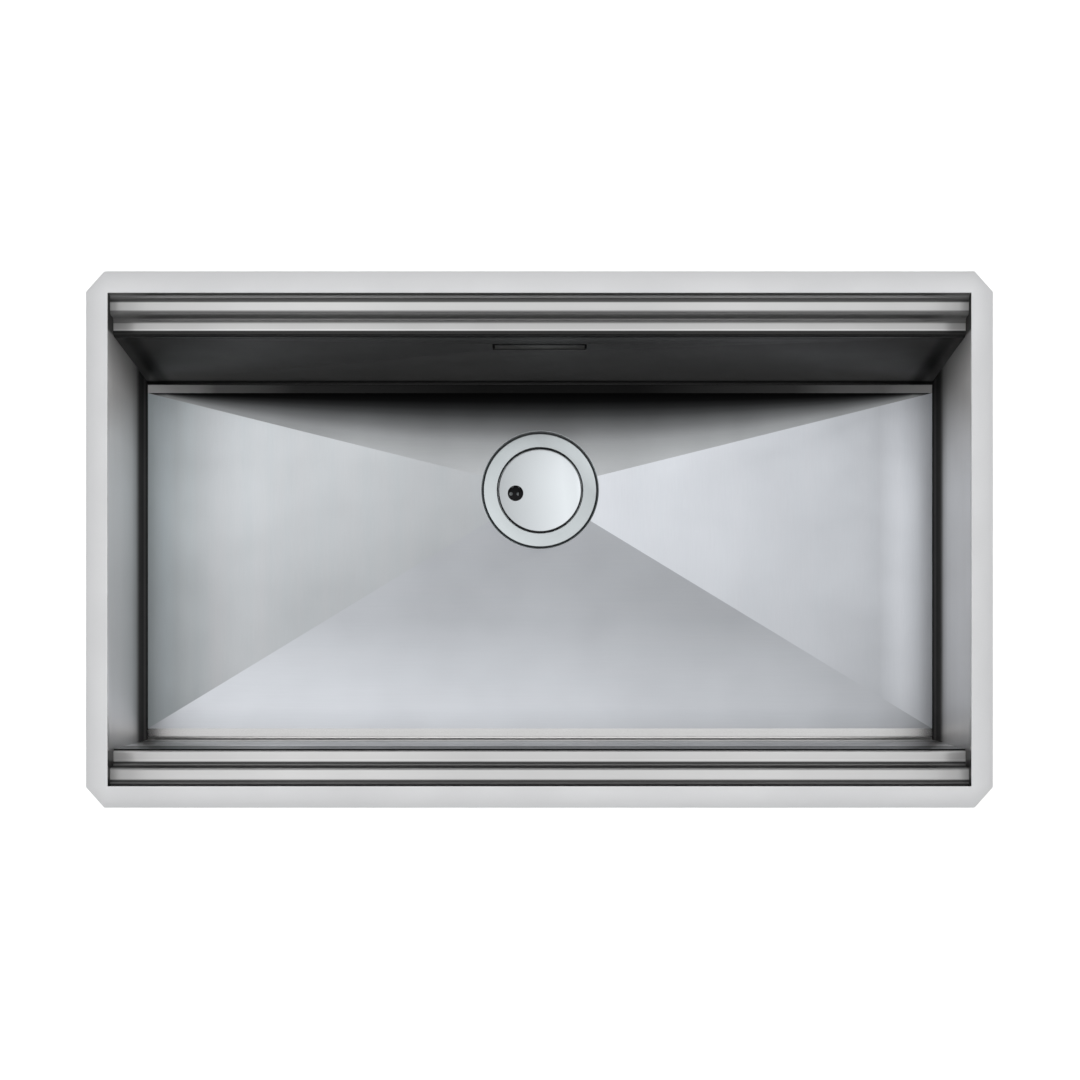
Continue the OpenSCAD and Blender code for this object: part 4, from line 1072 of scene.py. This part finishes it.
plateSizes = {"halfX": 43, "halfUp": 10.25, "thick": 1.5, "corner": 2, "postX": 30, "collar": 4, "collarEnd": 12.5,
              "post": 2.5, "postEnd": 20.5}
housingSizes = {"earX": 64, "earUp": 22.25, "gasketOut": 3.5, "earOut": 6.0, "corner": 3,
                "boxX": 49, "boxUp": 16.25, "boxEnd": 31.5, "roomX": 47, "roomUp": 14.25, "roomCorner": 1.5,
                "roomEnd": 29.5, "boss": 5, "bossEnd": 30.5, "hoseY": 208.77, "neckTop": -80, "neck": 11.5,
                "neckEnd": -99.75, "stubTop": -96, "stub": 8.2, "stubBore": 6.4, "stubEnd": -119.75}
studSizes = {"x": 56.5, "radius": 2, "end": 13.5, "threadDeep": 0.22, "threadFrom": 0.6, "pitch": 0.55, "turns": 20,
             "nut": 4, "nutThick": 3.2}


# Straight out through the leaning wall, at a place along it
def outwards(x):
    return lambda r, z, a: leaning(x + r * math.cos(a), z, r * math.sin(a))


def pin(name, radius, start, end, axis, segments):
    return lathe(name, [(0, start), (radius, start), (radius, end), (0, end)], axis, segments)


def makeOverflow():
    p, h, s = Sizes(**plateSizes), Sizes(**housingSizes), Sizes(**studSizes)
    postAxes = [outwards(side * p.postX) for side in (-1, 1)]
    studAxes = [outwards(side * s.x) for side in (-1, 1)]
    plate = softEdges(leaningPlate("platePanel", p.halfX, p.halfUp, p.corner, 0, p.thick), 0.3)
    inside = p.thick - 0.1
    post = rounded([(0, inside, 0), (p.collar, inside, 0), (p.collar, p.collarEnd, 0.5), (p.post, p.collarEnd, 0.2),
                    (p.post, p.postEnd, 0.6), (0, p.postEnd, 0)])
    posts = [lathe("post", post, axis, 32) for axis in postAxes]
    place(joinPieces("overflowPlate", [plate] + posts), "plate", "overflow_cover")

    def eared(name, start, end):
        return leaningPlate(name, h.earX, h.earUp, h.corner, start, end)

    def room(start, end):
        return leaningPlate("room", h.roomX, h.roomUp, h.roomCorner, start, end)

    def studHoles():
        return [pin("studHole", s.radius + 0.2, 0, 15, axis, 24) for axis in studAxes]

    gasket = cutAway(eared("overflowGasket", bowl.sheet, h.gasketOut), room(-2, 8), *studHoles())
    place(softEdges(gasket, 0.25), "seal", "overflow_gasket")

    hose = upright(0, h.hoseY)
    shell = eared("overflowHousing", h.gasketOut, h.earOut)
    box = leaningPlate("box", h.boxX, h.boxUp, h.corner, h.gasketOut, h.boxEnd)
    merge(shell, box, pin("neck", h.neck, h.neckTop, h.neckEnd, hose, 48))
    cutAway(shell, room(0, h.roomEnd), *studHoles())
    bosses = [pin("boss", h.boss, p.collarEnd, h.bossEnd, axis, 32) for axis in postAxes]
    stub = rounded([(0, h.stubTop, 0), (h.stub, h.stubTop, 0), (h.stub, h.stubEnd, 0.6), (0, h.stubEnd, 0)])
    merge(shell, lathe("stub", stub, hose, 48), *bosses)
    bores = [pin("bore", p.post + 0.1, 5, h.roomEnd, axis, 24) for axis in postAxes]
    cutAway(shell, pin("drop", h.stubBore, h.neckTop, h.stubEnd - 2.25, hose, 40), *bores)
    place(softEdges(shell, 0.5, 3, 50), "black", "overflow_housing")

    core = s.radius - s.threadDeep
    ridges = [(0, bowl.sheet), (core, bowl.sheet)]
    for i in range(s.turns):
        at = bowl.sheet + s.threadFrom + s.pitch * i
        ridges += [(core, at), (s.radius, at + 0.22), (s.radius, at + 0.3), (core, at + 0.5)]
    ridges += [(core - 0.2, s.end), (0, s.end)]
    hexagon = [(s.nut * math.cos(math.radians(60 * k)), s.nut * math.sin(math.radians(60 * k))) for k in range(6)]
    nuts = []
    for side, axis in zip((-1, 1), studAxes):
        nut = prism("nut", hexagon, lambda a, b, c: leaning(side * s.x + a, c, b), h.earOut, h.earOut + s.nutThick)
        nuts.append(softEdges(cutAway(nut, pin("nutHole", s.radius + 0.1, 4, 12, axis, 24)), 0.35))
    studs = [lathe("stud", ridges, axis, 24) for axis in studAxes]
    place(joinPieces("weldStuds", studs), "plain", "overflow_studs")
    place(joinPieces("hexNuts", nuts), "plain", "overflow_nuts")


hoseSizes = {"root": 9.8, "crest": 11.0, "bore": 8.3, "pitch": 4.0, "sides": 40, "bendRadius": 32, "y": 208.77,
             "topZ": -99.75, "bendZ": -238, "runZ": -270, "endY": 139.75,
             "downSteps": 24, "bendSteps": 32, "runSteps": 8,
             "nut": 14, "nutLength": 14, "grip": 2, "ribs": 30, "rib": 0.9, "ribShort": 2.4}


# Joins the hose's outside and bore at its upper end, and then at the other one
def closeEnds(work):
    for top in (True, False):
        ends = [edge for edge in work.edges
                if edge.is_boundary and (edge.verts[0].co.z > hoseSizes["topZ"] * mm - 1e-4) == top]
        bmesh.ops.bridge_loops(work, edges=ends)


def makeHose():
    h = Sizes(**hoseSizes)
    centreY = h.y - h.bendRadius
    path = [(h.y, h.topZ + (h.bendZ - h.topZ) * k / h.downSteps) for k in range(h.downSteps + 1)]
    path += arcPoints(centreY, h.bendZ, h.bendRadius, 0, -90, h.bendSteps)[1:]
    path += [(centreY + (h.endY - centreY) * k / h.runSteps, h.runZ) for k in range(1, h.runSteps + 1)]
    curve = bpy.data.curves.new("hoseCourse", "CURVE")
    curve.dimensions = "3D"
    spline = curve.splines.new("POLY")
    spline.points.add(len(path) - 1)
    for point, (y, z) in zip(spline.points, path):
        point.co = (0, y * mm, z * mm, 1)
    course = linkObject("hoseCourse", curve)
    addTree(course, trees["hose"], "grey", Root=h.root, Crest=h.crest, Bore=h.bore, Pitch=h.pitch, Sides=h.sides)
    mesh = reworked(finalMesh(course), closeEnds)
    bpy.data.objects.remove(course)
    place(linkObject("ribbedHose", mesh), "grey", "overflow_hose", smooth=60)

    base, bore, half = h.nut - h.rib, h.crest + 0.1, h.nutLength / 2
    outline = rounded([(bore, -half, 0.3), (base, -half, 0.8), (base, -half + h.grip, 0), (base, half, 0.8),
                       (bore, half, 0.3)])
    for name, node, where in (
            ("upperHoseNut", "hose_nut_top", lambda x, y, z: (x, h.y + y, h.topZ - half + z)),
            ("lowerHoseNut", "hose_nut_bottom", lambda x, y, z: (x, h.endY + half + z, h.runZ - y))):
        ring = lathe("nutRing", outline, upright(0, 0), 72)
        grip = fromTree("grip", trees["grip"], "black", Count=h.ribs, Radius=base - 0.05, Width=h.rib,
                        Length=h.nutLength - h.ribShort)
        place(bend(joinPieces(name, [ring, grip]), where), "black", node, smooth=30)


padSizes = {"thick": 4, "tile": 8.4, "tileHigh": 0.9, "gap": 0.1,
            "wallLong": 640, "wallUp": 74.25, "wallDepth": 194, "wallPitch": 14.8,
            "endLong": 287, "endFrom": -194, "endTo": -119.75,
            "floorFrom": 82, "floorTo": 376, "floorWide": 293.97, "floorPitch": 14.7}


def floorUnder(x, y):
    return bowl.floorZ - bowl.fall * (1 - max(farShares(x, y).values())) - bowl.sheet


def makePads():
    p = Sizes(**padSizes)
    wallOut = bowl.sheet + p.gap
    endOut = bowl.halfLength + wallOut
    half, middle, centre = p.wallUp / 2, (p.endFrom + p.endTo) / 2, (p.floorFrom + p.floorTo) / 2

    def onWall(x, y, z, side):
        x, y, z = leaning(x, wallOut + z, half + y, p.wallDepth)
        return x, side * y, z

    def onEnd(x, y, z, side):
        return side * (endOut + z), x, middle + y

    def onFloor(x, y, z, side):
        return side * (centre + x), y, floorUnder(centre + x, y) - p.gap - z

    floorLong = p.floorTo - p.floorFrom
    for name, node, side, where, long, wide, pitch in (
            ("rearPad", "rear", 1, onWall, p.wallLong, p.wallUp, p.wallPitch),
            ("frontPad", "front", -1, onWall, p.wallLong, p.wallUp, p.wallPitch),
            ("leftPad", "left", -1, onEnd, p.endLong, p.wallUp, p.wallPitch),
            ("rightPad", "right", 1, onEnd, p.endLong, p.wallUp, p.wallPitch),
            ("leftFloorPad", "floor_left", -1, onFloor, floorLong, p.floorWide, p.floorPitch),
            ("rightFloorPad", "floor_right", 1, onFloor, floorLong, p.floorWide, p.floorPitch)):
        sheet = fromTree(name, trees["pad"], "pad", Long=long, Wide=wide, CountLong=round(long / pitch),
                         CountWide=round(wide / pitch), Thick=p.thick - p.tileHigh, Tile=p.tile,
                         TileHigh=p.tileHigh)
        bend(sheet, lambda x, y, z: where(x, y, z, side))
        place(sheet, "pad", "sound_pad_" + node, smooth=25)


makeCup()
makeCover()
makeBasket()
makeSeals()
print("drain")
makeWaste()
makeScrew()
print("waste")
makeOverflow()
makeHose()
print("overflow and hose")
makePads()
print("pads")

# The solids under the pieces take a finish too
slotFinish = {"bowl_steel": "plain", "flange_steel": "ring", "polished_steel": "cover", "plain_steel": "plain",
              "pad_rubber": "pad", "seal_rubber": "seal", "black_plastic": "black", "grey_plastic": "grey"}
for part in frame["record"]["subparts"]:
    data = frame["nodes"][part["node"]].data
    data.materials.clear()
    data.materials.append(finishes[slotFinish[part["material_slot"]]])
